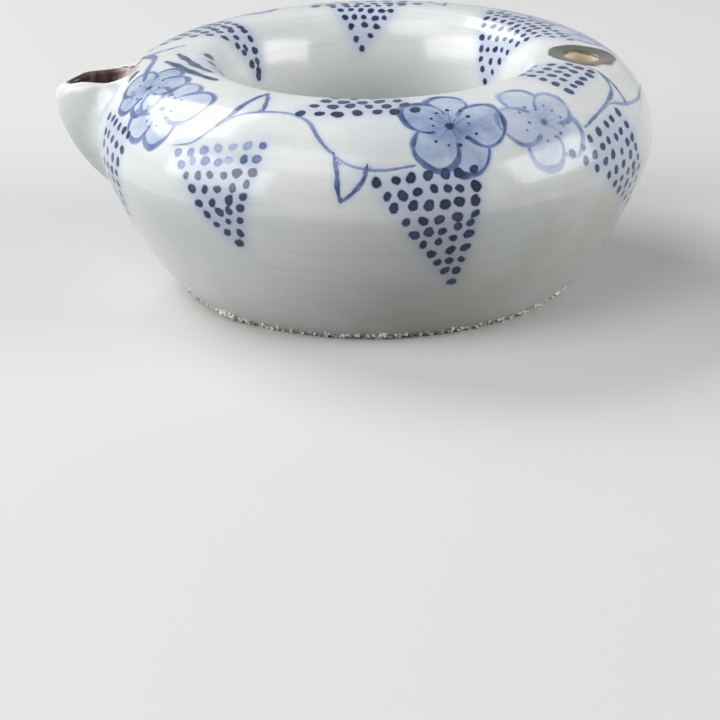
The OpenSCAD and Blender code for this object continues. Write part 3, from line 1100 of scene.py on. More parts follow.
    def with_root(self, local: np.ndarray) -> np.ndarray:
        """Slides the outer rows along the body's surface, away from the beak, by the fillet's profile.

        A slide along the tangent would leave the curved body, so each point is then drawn back to its
        former distance from the body, and the fillet's edge a little below the surface. The rows next
        to the brink move less and less, so that the mouth keeps its shape.

        Args:
            local: Array (rows, columns, 3) of the beak's surface.

        Returns:
            A new array, with its outer rows moved.
        """
        outer = local[:self.outside]
        normal = np.cross(np.gradient(outer, axis=1), np.gradient(outer, axis=0))
        normal /= np.maximum(np.linalg.norm(normal, axis=-1), 1e-6)[..., None]
        gap, outward = self.lift(outer)
        along = normal - (normal * outward).sum(-1)[..., None] * outward
        short = np.clip(self.fillet - np.clip(gap, 0, None), 0, None)
        spread = self.fillet - np.sqrt(np.clip(self.fillet**2 - short**2, 0, None))
        fade_in = smooth_step(0, self.fade_rows, np.arange(self.outside)[::-1])[:, None]
        moved = outer + along * (spread * fade_in)[..., None]
        for _ in range(2):
            risen, outward = self.lift(moved)
            excess = (risen - gap + self.edge_sink * (short / self.fillet) ** 6) * fade_in
            moved = moved - outward * np.where(short > 0, excess, 0.0)[..., None]
        return np.concatenate([moved, local[self.outside:]])

    def build(self) -> bpy.types.Object:
        """Builds the closed beak and writes its fields.

        Returns:
            The object. Its fields are the ornament's, and how far each point lies inside the mouth.
        """
        local = self.with_root(self.surface())
        points = np.stack([-local[..., 0], local[..., 1], local[..., 2]], -1)
        rows, cols = points.shape[:2]
        quads = wrap_quads(rows, cols, True, False)[:, ::-1]
        side = np.arange(rows) * cols
        caps = [list(map(int, side[::-1])), list(map(int, side + cols - 1))]
        obj = new_object("spout_shell_glazed", points.reshape(-1, 3), quads, caps, 60.0)
        row = np.repeat(np.arange(rows), cols)
        flat = points.reshape(-1, 3)
        turn = np.degrees(np.arctan2(flat[:, 0], -flat[:, 1]))
        arc = np.where(self.lift(flat)[0] < self.painted_lift, self.section.arc_at(flat), BARE)
        self.painting.dress(obj, turn, arc)
        first, last = (self.outside + shift for shift in self.lining_rows)
        lining = smooth_step(first, last, row + 0.0)
        obj.data.attributes["mouth"].data.foreach_set("value", lining.astype(np.float32))
        return obj


# The filling hole


@dataclass
class InletRim(Member):
    """The small ring round the filling hole, turned about its own leaning axis."""

    name: str = "inlet_rim"
    turn: float = 84.0
    out: float = 5.0
    lean: float = 6.0
    outer_r: float = 6.5
    hole_r: float = 3.3
    dish: float = 0.22
    skirt: float = 2.9
    skirt_rows: int = 22
    sink: float = 0.2
    collar: float = 5.6
    edge_w: float = 0.4
    edge_h: float = 0.3
    brim_r: float = 0.45
    edge_low: float = 3.6
    brim_depth: float = 0.6
    bore_rows: int = 14
    collar_gap: float = 0.03
    columns: int = 180

    @property
    def axis(self) -> np.ndarray:
        """Direction of the hole, up and leaning outwards."""
        turn, lean = math.radians(self.turn), math.radians(self.lean)
        return np.array([math.sin(lean) * math.sin(turn), -math.sin(lean) * math.cos(turn), math.cos(lean)])

    @property
    def centre(self) -> np.ndarray:
        """The middle of the hole on the shoulder."""
        radius = self.section.crest_r + self.out
        height = float(self.section.shoulder_z(np.array(radius)))
        turn = math.radians(self.turn)
        return np.array([radius * math.sin(turn), -radius * math.cos(turn), height])

    def outline(self) -> np.ndarray:
        """Open half section (distance from the hole's axis, height), from the ring's edge to its collar.

        The edge rolls over to a nearly flat top, which dips a little to the rounded brim of the bore.
        """
        roll = np.radians(np.linspace(0, 90, 8))
        edge_w, edge_h, brim_r = self.edge_w, self.edge_h, self.brim_r
        rim = np.stack([self.outer_r - edge_w + edge_w * np.cos(roll), -edge_h + edge_h * np.sin(roll)], -1)
        inward = np.linspace(0, 1, 24)[1:]
        bowl_r = rim[-1, 0] - (rim[-1, 0] - self.hole_r - brim_r) * inward
        bowl = np.stack([bowl_r, -self.dish * inward**1.6], -1)
        into = np.radians(np.linspace(0, 90, 9))[1:]
        over = self.hole_r + brim_r * (1 - np.sin(into))
        brim = np.stack([over, -self.dish - brim_r * (1 - np.cos(into))], -1)
        bore_z = np.linspace(-self.dish - self.brim_depth, -self.collar, self.bore_rows)
        bore = np.stack([np.full(self.bore_rows, self.hole_r), bore_z], -1)
        collar_r = self.outer_r - self.collar_gap
        collar = [[collar_r, -self.collar], [collar_r, -self.edge_low]]
        return np.concatenate([rim, bowl, brim, bore, collar])

    def ground(self, points: np.ndarray) -> np.ndarray:
        """Height of the ring's own surface, shoulder or well, under points."""
        section = self.section
        radius = np.hypot(points[..., 0], points[..., 1])
        share = np.clip((section.crest_r - radius) / (section.crest_r - section.well_r), 0, 1)
        power = section.well_fullness
        rise = section.crest_z - section.throat_z
        well = section.throat_z + rise * np.clip(1 - share**power, 0, 1) ** (1 / power)
        return np.where(radius < section.crest_r, well, section.shoulder_z(radius))

    def skirt_points(self, edge: np.ndarray) -> np.ndarray:
        """Rows of the glazed skirt, from its hem on the shoulder up to the ring's edge.

        A row at share t of the way out stands height(t) = gap (1 - t)^2.2 above the ground, where gap
        is how far the ring's edge stands above the ground, so the hem runs out without a step.

        Args:
            edge: Array (columns, 3), the ring's lower outer edge.

        Returns:
            Array (rows, columns, 3).
        """
        away = edge - self.centre
        away -= (away @ self.axis)[:, None] * self.axis
        away /= np.linalg.norm(away, axis=1)[:, None]
        away[:, 2] = 0.0
        share = np.linspace(1, 0, self.skirt_rows)[:-1, None]
        points = edge[None] + (share * self.skirt)[..., None] * away[None]
        gap = np.maximum(edge[:, 2] - self.ground(edge), 0.05)[None]
        lift = (gap + self.sink) * (1 - share) ** 2.2 - self.sink
        points[..., 2] = self.ground(points) + lift
        return points

    def build(self) -> bpy.types.Object:
        """Turns the outline about the hole's axis and records distance and height on each point."""
        half = self.outline()
        angle = np.linspace(0, 2 * math.pi, self.columns, endpoint=False)
        side = np.array([math.cos(math.radians(self.turn)), math.sin(math.radians(self.turn)), 0.0])
        other = np.cross(self.axis, side)
        ring = np.cos(angle)[:, None] * side + np.sin(angle)[:, None] * other
        wobble = 1 + 0.012 * np.sin(3 * angle + 1) + 0.008 * np.sin(7 * angle)
        radius = half[:, 0:1] * wobble[None, :]
        turned = self.centre + radius[..., None] * ring[None] + half[:, 1, None, None] * self.axis
        skirt = self.skirt_points(turned[0])
        points = np.concatenate([skirt, turned])
        quads = wrap_quads(len(points), self.columns, True, True)
        obj = new_object("inlet_rim_fired", points.reshape(-1, 3), quads, None, 50.0)
        record = np.zeros((*points.shape[:2], 3))
        hem = self.outer_r + self.skirt * np.linspace(1, 0, self.skirt_rows)[:-1]
        record[..., 0] = np.concatenate([hem, half[:, 0]])[:, None]
        record[..., 1] = np.concatenate([0 * hem, half[:, 1]])[:, None]
        side_of = np.stack([np.cos(angle), np.sin(angle), 0 * angle], -1)
        set_field(obj, "rim", record.reshape(-1, 3))
        set_field(obj, "rim_side", np.tile(side_of, (len(points), 1)))
        return obj


# Kiln sand


@dataclass
class KilnGrit(Member):
    """Grains of kiln sand fused round the foot, each a lumpy ball of eighty faces."""

    name: str = "kiln_grit"
    grains: int = 1000
    largest: float = 0.36
    smallest: float = 0.07
    lumps: tuple[tuple[float, float], ...] = (
        (-67, 0.7), (-51, 1.0), (-46, 1.2), (-41, 0.8), (-9, 0.7), (1, 0.9), (7, 0.7), (24, 0.5), (47, 0.6),
        (71, 0.7), (104, 0.6), (128, 0.9), (163, 0.7), (190, 0.8), (197, 0.6), (228, 0.9), (251, 0.6),
        (281, 0.7))
    lump_grains: int = 14

    @staticmethod
    def ball() -> tuple[np.ndarray, np.ndarray]:
        """An icosahedron with each face cut in four, on the unit ball."""
        g = (1 + math.sqrt(5)) / 2
        p = np.array([[-1, g, 0], [1, g, 0], [-1, -g, 0], [1, -g, 0], [0, -1, g], [0, 1, g],
                      [0, -1, -g], [0, 1, -g], [g, 0, -1], [g, 0, 1], [-g, 0, -1], [-g, 0, 1]], float)
        f = np.array([[0, 11, 5], [0, 5, 1], [0, 1, 7], [0, 7, 10], [0, 10, 11], [1, 5, 9], [5, 11, 4],
                      [11, 10, 2], [10, 7, 6], [7, 1, 8], [3, 9, 4], [3, 4, 2], [3, 2, 6], [3, 6, 8],
                      [3, 8, 9], [4, 9, 5], [2, 4, 11], [6, 2, 10], [8, 6, 7], [9, 8, 1]])
        corners = p[f]
        a, b, c = corners[:, 0], corners[:, 1], corners[:, 2]
        ab, bc, ca = (a + b) / 2, (b + c) / 2, (c + a) / 2
        quarters = ((a, ab, ca), (b, bc, ab), (c, ca, bc), (ab, bc, ca))
        faces = np.concatenate([np.stack(quarter, 1) for quarter in quarters])
        flat = np.round(faces.reshape(-1, 3), 6)
        points, index = np.unique(flat, axis=0, return_inverse=True)
        return points / np.linalg.norm(points, axis=1)[:, None], index.reshape(-1, 3)

    def build(self) -> bpy.types.Object:
        """Scatters fine grains round the foot, thickest at the bottom, and heaps others into lumps."""
        rng = np.random.default_rng(SEED + 11)
        ball, faces = self.ball()
        turn = rng.uniform(0, 360, self.grains) + 9 * np.sin(rng.uniform(0, 7, self.grains))
        size = self.smallest + (self.largest - self.smallest) * rng.random(self.grains) ** 2.2
        height = size * 0.9 + 1.5 * rng.random(self.grains) ** 2.6
        for place, bulk in self.lumps:
            heap = rng.normal(0, 1.15 * bulk, self.lump_grains)
            turn = np.concatenate([turn, place + heap])
            size = np.concatenate([size, bulk * rng.uniform(0.26, 0.52, self.lump_grains)])
            height = np.concatenate([height, 0.35 + bulk * rng.uniform(0.0, 1.3, self.lump_grains)])
        count = len(turn)
        lean = rng.uniform(0.7, 1.25, (count, 1, 3))
        lump = 1 + 0.22 * rng.normal(0, 1, (count, len(ball), 1)).clip(-1.5, 1.5)
        shape = ball[None] * lump * lean * size[:, None, None]
        radius = self.section.body_r(height) + size * 0.2
        middle = spin(np.stack([radius, height], -1), turn)[np.arange(count), np.arange(count)]
        points = shape + middle[:, None]
        points[..., 2] = np.maximum(points[..., 2], 0.0)
        index = faces[None] + (np.arange(count) * len(ball))[:, None, None]
        tris = index.reshape(-1, 3)
        return new_object("kiln_grit_sand", points.reshape(-1, 3), np.zeros((0, 4), int),
                          [list(map(int, t)) for t in tris], 20.0)


# Materials


class Graph:
    """Adds nodes to a node tree; each method returns the output socket of the node it adds."""

    def __init__(self, tree: bpy.types.NodeTree) -> None:
        """Takes an empty tree."""
        self.tree = tree

    def node(self, kind: str, inputs: dict | None = None, **settings: object) -> bpy.types.Node:
        """Adds a node, sets its properties, and links or sets its inputs by name or number."""
        made = self.tree.nodes.new(kind)
        for key, value in settings.items():
            setattr(made, key, value)
        for key, value in (inputs or {}).items():
            self.feed(made.inputs[key], value)
        return made

    def feed(self, socket: bpy.types.NodeSocket, value: Feed) -> None:
        """Links a socket to another, or sets its plain value."""
        if isinstance(value, bpy.types.NodeSocket):
            self.tree.links.new(value, socket)
        else:
            socket.default_value = value

    def math(self, kind: str, a: Feed, b: Feed = 0.0, c: Feed = 0.0) -> bpy.types.NodeSocket:
        """One Math node."""
        return self.node("ShaderNodeMath", {0: a, 1: b, 2: c}, operation=kind).outputs[0]

    def vector(self, kind: str, a, b=(0.0, 0.0, 0.0)) -> bpy.types.NodeSocket:
        """One Vector Math node with a vector output."""
        return self.node("ShaderNodeVectorMath", {0: a, 1: b}, operation=kind).outputs[0]

    def split(self, vector: Feed) -> tuple[bpy.types.NodeSocket, ...]:
        """The three parts of a vector."""
        return tuple(self.node("ShaderNodeSeparateXYZ", {0: vector}).outputs)

    def join(self, x: Feed, y: Feed, z: Feed) -> bpy.types.NodeSocket:
        """A vector of three parts."""
        return self.node("ShaderNodeCombineXYZ", {0: x, 1: y, 2: z}).outputs[0]

    def ramp(self, value: Feed, low: Feed, high: Feed, start: float = 0.0,
             end: float = 1.0) -> bpy.types.NodeSocket:
        """Smooth step from start at low to end at high."""
        inputs = {"Value": value, "From Min": low, "From Max": high, "To Min": start, "To Max": end}
        return self.node("ShaderNodeMapRange", inputs, interpolation_type="SMOOTHSTEP").outputs[0]

    def noise(self, place: Feed, scale: float, detail: float = 2.0,
              rough: float = 0.5) -> bpy.types.NodeSocket:
        """Noise of about 0.5 at a place."""
        inputs = {"Vector": place, "Scale": scale, "Detail": detail, "Roughness": rough}
        return self.node("ShaderNodeTexNoise", inputs).outputs[0]

    def mix(self, share: Feed, a: Feed, b: Feed) -> bpy.types.NodeSocket:
        """Colour a where share is 0 and b where it is 1."""
        made = self.node("ShaderNodeMix", {"Factor": share}, data_type="RGBA")
        self.feed(made.inputs[6], a)
        self.feed(made.inputs[7], b)
        return made.outputs[2]

    def attribute(self, name: str, output: str = "Vector") -> bpy.types.NodeSocket:
        """A field that the piece carries."""
        return self.node("ShaderNodeAttribute", attribute_name=name).outputs[output]

    def place(self) -> bpy.types.NodeSocket:
        """Object coordinates."""
        return self.node("ShaderNodeTexCoord").outputs["Object"]


def new_group(name: str, inputs: dict[str, str],
              outputs: dict[str, str]) -> tuple[Graph, dict, bpy.types.Node]:
    """Makes a shader node group.

    Args:
        name: Name of the group.
        inputs: Socket name to kind, where a kind is Float, Vector or Color.
        outputs: Socket name to kind.

    Returns:
        The graph to build in, the input sockets by name, and the output node.
    """
    tree = bpy.data.node_groups.new(name, "ShaderNodeTree")
    for way, sockets in (("INPUT", inputs), ("OUTPUT", outputs)):
        for label, kind in sockets.items():
            tree.interface.new_socket(label, in_out=way, socket_type=f"NodeSocket{kind}")
    graph = Graph(tree)
    start = graph.node("NodeGroupInput")
    end = graph.node("NodeGroupOutput")
    return graph, {label: start.outputs[label] for label in inputs}, end


def cobalt_group() -> bpy.types.NodeTree:
    """Cobalt under the glaze: a density of 0 to 1 turns the white into washed blue, then blue-black."""
    sockets = {"White": "Color", "Ink": "Float"}
    graph, given, end = new_group("cobalt_under_glaze", sockets, {"Color": "Color"})
    ramp = graph.node("ShaderNodeValToRGB", {0: given["Ink"]})
    stops = ((0.0, (1.0, 1.0, 1.0)), (0.12, (0.83, 0.86, 0.95)), (0.3, (0.54, 0.63, 0.86)),
             (0.5, (0.265, 0.345, 0.61)), (0.7, (0.095, 0.135, 0.335)), (0.86, (0.036, 0.048, 0.135)),
             (1.0, (0.015, 0.018, 0.048)))
    elements = ramp.color_ramp.elements
    while len(elements) < len(stops):
        elements.new(0.5)
    for element, (position, colour) in zip(elements, stops):
        element.position = position
        element.color = (*colour, 1.0)
    tinted = graph.node("ShaderNodeMix", {"Factor": 1.0}, data_type="RGBA", blend_type="MULTIPLY")
    graph.feed(tinted.inputs[6], given["White"])
    graph.feed(tinted.inputs[7], ramp.outputs[0])
    graph.feed(end.inputs["Color"], tinted.outputs[2])
    return graph.tree


def dots_group() -> bpy.types.NodeTree:
    """Loaded-brush dots: a dark body with an uneven edge, in a pale bloom where the cobalt ran."""
    graph, given, end = new_group("brush_dots", {"Dots": "Vector", "Place": "Vector"}, {"Ink": "Float"})
    edge, tone, bloom = graph.split(given["Dots"])
    waver = graph.math("MULTIPLY_ADD", graph.noise(given["Place"], 900, 2), 0.5, -0.25)
    ragged = graph.math("ADD", edge, waver)
    body = graph.ramp(ragged, -0.22, 0.2, 1.0, 0.0)
    pool = graph.ramp(ragged, -0.8, -0.15, 0.90, 1.0)
    mottle = graph.math("MULTIPLY_ADD", graph.noise(given["Place"], 1500, 3, 0.6), 0.26, 0.87)
    ink = graph.math("MULTIPLY", graph.math("MULTIPLY", body, tone), graph.math("MULTIPLY", pool, mottle))
    run = graph.math("MULTIPLY", graph.ramp(ragged, 0.0, 0.8, 0.24, 0.0), tone)
    haze = graph.math("MULTIPLY", bloom, 0.14)
    lifted = graph.math("MAXIMUM", ink, run)
    graph.feed(end.inputs["Ink"], graph.math("MAXIMUM", lifted, haze))
    return graph.tree


def strokes_group() -> bpy.types.NodeTree:
    """A brushed line: dark along its edges, paler inside, with a soft bleed beside it."""
    sockets = {"Strokes": "Vector", "Tone": "Float", "Place": "Vector"}
    graph, given, end = new_group("brush_strokes", sockets, {"Ink": "Float"})
    signed, plain, half = graph.split(given["Strokes"])
    true = graph.math("MAXIMUM", graph.math("ABSOLUTE", signed), graph.math("SUBTRACT", plain, 0.28))
    waver = graph.math("MULTIPLY_ADD", graph.noise(given["Place"], 700, 3), 0.3, -0.15)
    edge = graph.math("ADD", graph.math("SUBTRACT", true, half), waver)
    body = graph.ramp(edge, -0.13, 0.14, 1.0, 0.0)
    mottle = graph.math("MULTIPLY_ADD", graph.noise(given["Place"], 900, 4, 0.7), 0.7, 0.62)
    ink = graph.math("MULTIPLY", graph.math("MULTIPLY", body, given["Tone"]), mottle)
    bleed = graph.math("MULTIPLY", graph.ramp(edge, 0.0, 0.9, 0.17, 0.0), given["Tone"])
    graph.feed(end.inputs["Ink"], graph.math("MAXIMUM", ink, bleed))
    return graph.tree


def blossom_group() -> bpy.types.NodeTree:
    """A plum blossom: overlapping petals with dark outlines, a streaked wash, stamens and a dark eye.

    The three sets of petals hide one another in turn. Stamens lie on spokes: the angle is counted in
    spokes and rounded to the nearest, and each ends in a dot at its own distance from the eye.
    """
    sockets = {"Petals": "Vector", "Where": "Vector", "Place": "Vector"}
    graph, given, end = new_group("plum_blossom", sockets, {"Ink": "Float"})
    math_ = graph.math
    first, second, third = graph.split(given["Petals"])
    x, y, tone = graph.split(given["Where"])
    out = math_("SQRT", math_("ADD", math_("MULTIPLY", x, x), math_("MULTIPLY", y, y)))
    angle = math_("ARCTAN2", y, x)
    soft = graph.noise(given["Place"], 330, 3)
    width = math_("MULTIPLY_ADD", graph.noise(given["Place"], 210, 1), 1.1, -0.06)
    line = None
    hidden = None
    for petal in (first, second, third):
        edge = math_("SUBTRACT", math_("ABSOLUTE", petal), width)
        drawn = graph.ramp(edge, -0.28, 0.26, 1.0, 0.0)
        drawn = math_("MAXIMUM", drawn, graph.ramp(math_("ABSOLUTE", petal), 0.2, 1.15, 0.30, 0.0))
        if hidden is not None:
            drawn = math_("MULTIPLY", drawn, hidden)
        line = drawn if line is None else math_("MAXIMUM", line, drawn)
        shows = graph.ramp(petal, -0.35, 0.0, 0.12, 1.0)
        hidden = shows if hidden is None else math_("MULTIPLY", hidden, shows)
    fade = graph.ramp(out, 0.22, 0.46)
    line = math_("MULTIPLY", math_("MULTIPLY", line, fade), math_("MULTIPLY_ADD", soft, 0.8, 0.24))
    inside = graph.ramp(math_("MINIMUM", math_("MINIMUM", first, second), third), -0.3, 0.25, 1.0, 0.0)
    inside = math_("MAXIMUM", inside, graph.ramp(out, 0.25, 0.32, 1.0, 0.0))
    polar = graph.join(math_("MULTIPLY", angle, 2.2), math_("MULTIPLY", out, 1.1), tone)
    streak = graph.noise(polar, 2.4, 3)
    cloud = math_("MULTIPLY_ADD", graph.noise(given["Place"], 150, 4), 0.62, -0.17)
    wash = math_("MULTIPLY_ADD", streak, 0.16, cloud)
    wash = math_("ADD", wash, graph.ramp(out, 0.1, 0.8, 0.09, 0.0))
    wash = math_("MULTIPLY", wash, inside)
    spokes = 13.0
    fan = math_("DIVIDE", math_("MULTIPLY", angle, spokes), math.tau)
    cell = math_("FLOOR", math_("ADD", fan, 0.5))
    miss = math_("SUBTRACT", fan, cell)
    luck = graph.node("ShaderNodeTexWhiteNoise", {"W": math_("MULTIPLY_ADD", tone, 91.0, cell)},
                      noise_dimensions="1D").outputs[0]
    miss = math_("ADD", miss, math_("MULTIPLY_ADD", luck, 0.3, -0.15))
    away = math_("MULTIPLY", math_("MULTIPLY", math_("ABSOLUTE", miss), math.tau / spokes), out)
    other = math_("FRACT", math_("MULTIPLY", luck, 7.3))
    tip = math_("MULTIPLY_ADD", luck, 0.24, 0.34)
    hair = math_("MULTIPLY", graph.ramp(away, 0.006, 0.028, 1.0, 0.0), graph.ramp(
        math_("SUBTRACT", out, tip), -0.12, 0.0, 0.46, 0.0))
    hair = math_("MULTIPLY", hair, graph.ramp(out, 0.1, 0.16))
    hair = math_("MULTIPLY", hair, graph.ramp(other, 0.2, 0.4))
    along = math_("SUBTRACT", out, tip)
    dot = math_("SQRT", math_("ADD", math_("MULTIPLY", along, along), math_("MULTIPLY", away, away)))
    big = math_("MULTIPLY_ADD", other, 0.022, 0.004)
    anther = graph.ramp(math_("SUBTRACT", dot, big), 0.008, 0.038, 0.9, 0.0)
    blot = math_("MULTIPLY_ADD", graph.noise(given["Place"], 620, 3), 0.22, math_("SUBTRACT", out, 0.11))
    eye = graph.ramp(blot, 0.05, 0.14, 0.84, 0.0)
    rays = math_("MULTIPLY", graph.ramp(away, 0.014, 0.042, 1.0, 0.0), graph.ramp(
        math_("SUBTRACT", out, math_("MULTIPLY", other, 0.16)), 0.06, 0.2, 0.5, 0.0))
    heart = math_("MAXIMUM", math_("MAXIMUM", hair, anther), math_("MAXIMUM", eye, rays))
    heart = math_("MULTIPLY", heart, graph.ramp(out, 0.9, 1.0, 1.0, 0.0))
    ink = math_("MAXIMUM", math_("MAXIMUM", line, heart), wash)
    ink = math_("ADD", ink, math_("MULTIPLY", wash, 0.3))
    graph.feed(end.inputs["Ink"], math_("MULTIPLY", ink, tone))
    return graph.tree


def body_group() -> bpy.types.NodeTree:
    """The white under its glaze: bluish where it pools, warm where the kiln stained it, with throwing
    lines, iron specks and pinholes, and the waviness of the glaze as a height."""
    outputs = {"White": "Color", "Height": "Float", "Pits": "Float"}
    graph, given, end = new_group("fired_white", {"Place": "Vector", "Stain": "Float"}, outputs)
    place = given["Place"]
    cloud = graph.noise(place, 34, 3)
    white = graph.mix(graph.ramp(cloud, 0.36, 0.68), Hue.WHITE.rgba, Hue.COOL.rgba)
    thrown = graph.vector("MULTIPLY", place, (0.022, 0.022, 1.0))
    lines = graph.noise(thrown, 1300, 4, 0.7)
    white = graph.mix(graph.ramp(lines, 0.48, 0.74, 0.0, 0.26), white, Hue.GREY.rgba)
    stain = graph.math("MULTIPLY", given["Stain"], graph.ramp(graph.noise(place, 62, 4), 0.34, 0.62))
    white = graph.mix(stain, white, Hue.WARM.rgba)
    peel = graph.ramp(graph.noise(place, 1100, 2), 0.5, 0.75, 0.0, 0.12)
    white = graph.mix(peel, white, Hue.GREY.rgba)
    cells = graph.node("ShaderNodeTexVoronoi", {"Vector": place, "Scale": 190.0}, feature="F1")
    rare = graph.ramp(graph.split(cells.outputs["Color"])[0], 0.90, 0.93)
    size = graph.math("MULTIPLY_ADD", graph.split(cells.outputs["Color"])[1], 0.055, 0.02)
    speck = graph.math("LESS_THAN", cells.outputs["Distance"], size)
    speck = graph.math("MULTIPLY", speck, rare)
    white = graph.mix(graph.math("MULTIPLY", speck, 0.72), white, Hue.RUST.rgba)
    wave = graph.math("MULTIPLY", graph.noise(place, 58, 2), 0.75)
    fine = graph.math("MULTIPLY", graph.noise(place, 520, 3), 0.045)
    height = graph.math("ADD", graph.math("ADD", wave, fine), graph.math("MULTIPLY", lines, 0.11))
    graph.feed(end.inputs["White"], white)
    graph.feed(end.inputs["Height"], graph.math("SUBTRACT", height, graph.math("MULTIPLY", speck, 0.06)))
    graph.feed(end.inputs["Pits"], speck)
    return graph.tree


@dataclass(frozen=True)
class Finish:
    """A fired surface. Each kind adds its own colour and relief to a Principled shader."""

    name: str
    roughness: float
    bump_mm: float

    def shader(self, graph: Graph, colour: Feed, height: Feed, roughness: Feed | None = None) -> None:
        """Ends the tree: colour and relief feed a Principled shader with plain gloss values.

        Args:
            graph: The material's graph.
            colour: Base colour socket.
            height: Relief of about 0 to 1, which bump_mm scales.
            roughness: Socket, or None for the finish's own value.
        """
        relief = {"Height": height, "Strength": 1.0, "Distance": self.bump_mm * MM}
        bump = graph.node("ShaderNodeBump", relief)
        looks = {"Base Color": colour, "Normal": bump.outputs[0]}
        principled = graph.node("ShaderNodeBsdfPrincipled", looks)
        graph.feed(principled.inputs["Roughness"], self.roughness if roughness is None else roughness)
        principled.inputs["IOR"].default_value = 1.5
        output = graph.node("ShaderNodeOutputMaterial")
        graph.tree.links.new(principled.outputs[0], output.inputs[0])

    def start(self) -> tuple[bpy.types.Material, Graph]:
        """An empty material and its graph."""
        material = bpy.data.materials.new(self.name)
        material.use_nodes = True
        material.node_tree.nodes.clear()
        return material, Graph(material.node_tree)


@dataclass(frozen=True)
class PaintedPorcelain(Finish):
    """Glossy glaze over the cobalt painting, with iron brown inside the spout's mouth and a painted pink
    highlight at its root.
    """

    def make(self, groups: dict[str, bpy.types.NodeTree]) -> bpy.types.Material:
        """Builds the material from the shared groups."""
        material, graph = self.start()
        place = graph.place()
        white = graph.node("ShaderNodeGroup", node_tree=groups["body"])
        graph.feed(white.inputs["Place"], place)
        graph.feed(white.inputs["Stain"], graph.attribute("stain", "Fac"))
        dots = graph.node("ShaderNodeGroup", node_tree=groups["dots"])
        graph.feed(dots.inputs["Dots"], graph.attribute("dots"))
        graph.feed(dots.inputs["Place"], place)
        strokes = graph.node("ShaderNodeGroup", node_tree=groups["strokes"])
        graph.feed(strokes.inputs["Strokes"], graph.attribute("strokes"))
        graph.feed(strokes.inputs["Tone"], graph.attribute("stroke_tone", "Fac"))
        graph.feed(strokes.inputs["Place"], place)
        ink = graph.math("MAXIMUM", dots.outputs[0], strokes.outputs[0])
        for label in ("odd", "even"):
            bloom = graph.node("ShaderNodeGroup", node_tree=groups["blossom"])
            graph.feed(bloom.inputs["Petals"], graph.attribute(f"petals_{label}"))
            graph.feed(bloom.inputs["Where"], graph.attribute(f"place_{label}"))
            graph.feed(bloom.inputs["Place"], place)
            ink = graph.math("MAXIMUM", ink, bloom.outputs[0])
        cobalt = graph.node("ShaderNodeGroup", node_tree=groups["cobalt"])
        graph.feed(cobalt.inputs["White"], white.outputs["White"])
        graph.feed(cobalt.inputs["Ink"], ink)
        mouth = graph.math("MULTIPLY_ADD", graph.noise(place, 300, 4), 0.7, graph.math(
            "MULTIPLY_ADD", graph.attribute("mouth", "Fac"), 1.0, -0.35))
        streak = graph.noise(graph.vector("MULTIPLY", place, (1.0, 1.0, 0.25)), 420, 4, 0.6)
        brown = graph.mix(graph.ramp(streak, 0.46, 0.70), Hue.IRON.rgba, Hue.IRON_PALE.rgba)
        # Painted highlight: the lining turns pink towards the root of the mouth, nearest the ring.
        towards_ring = graph.math("MULTIPLY_ADD", streak, 0.006, graph.split(place)[0])
        brown = graph.mix(graph.ramp(towards_ring, -0.0475, -0.0425, 0.0, 0.85), brown, Hue.PINK_HIGHLIGHT.rgba)
        colour = graph.mix(graph.ramp(mouth, 0.42, 0.62), cobalt.outputs[0], brown)
        rough = graph.math("MULTIPLY_ADD", graph.noise(place, 90, 3), 0.08, self.roughness - 0.04)
        rough = graph.math("MULTIPLY_ADD", white.outputs["Pits"], 0.3, rough)
        self.shader(graph, colour, white.outputs["Height"], rough)
        return material


@dataclass(frozen=True)
class BareClay(Finish):
    """Unglazed fired clay: sandy, with a rusty flush and fine grains."""

    pale: Hue = Hue.BISCUIT
    dark: Hue = Hue.BISCUIT_DARK

    def make(self, groups: dict[str, bpy.types.NodeTree]) -> bpy.types.Material:
        """Builds the material."""
        material, graph = self.start()
        place = graph.place()
        patch = graph.noise(place, 120, 5, 0.65)
        grain = graph.noise(place, 1900, 4, 0.7)
        colour = graph.mix(graph.ramp(patch, 0.38, 0.66), self.pale.rgba, self.dark.rgba)
        colour = graph.mix(graph.ramp(grain, 0.56, 0.72, 0.0, 0.5), colour, Hue.SAND.rgba)
        height = graph.math("ADD", graph.math("MULTIPLY", grain, 0.6), graph.math("MULTIPLY", patch, 0.4))
        self.shader(graph, colour, height)
        return material


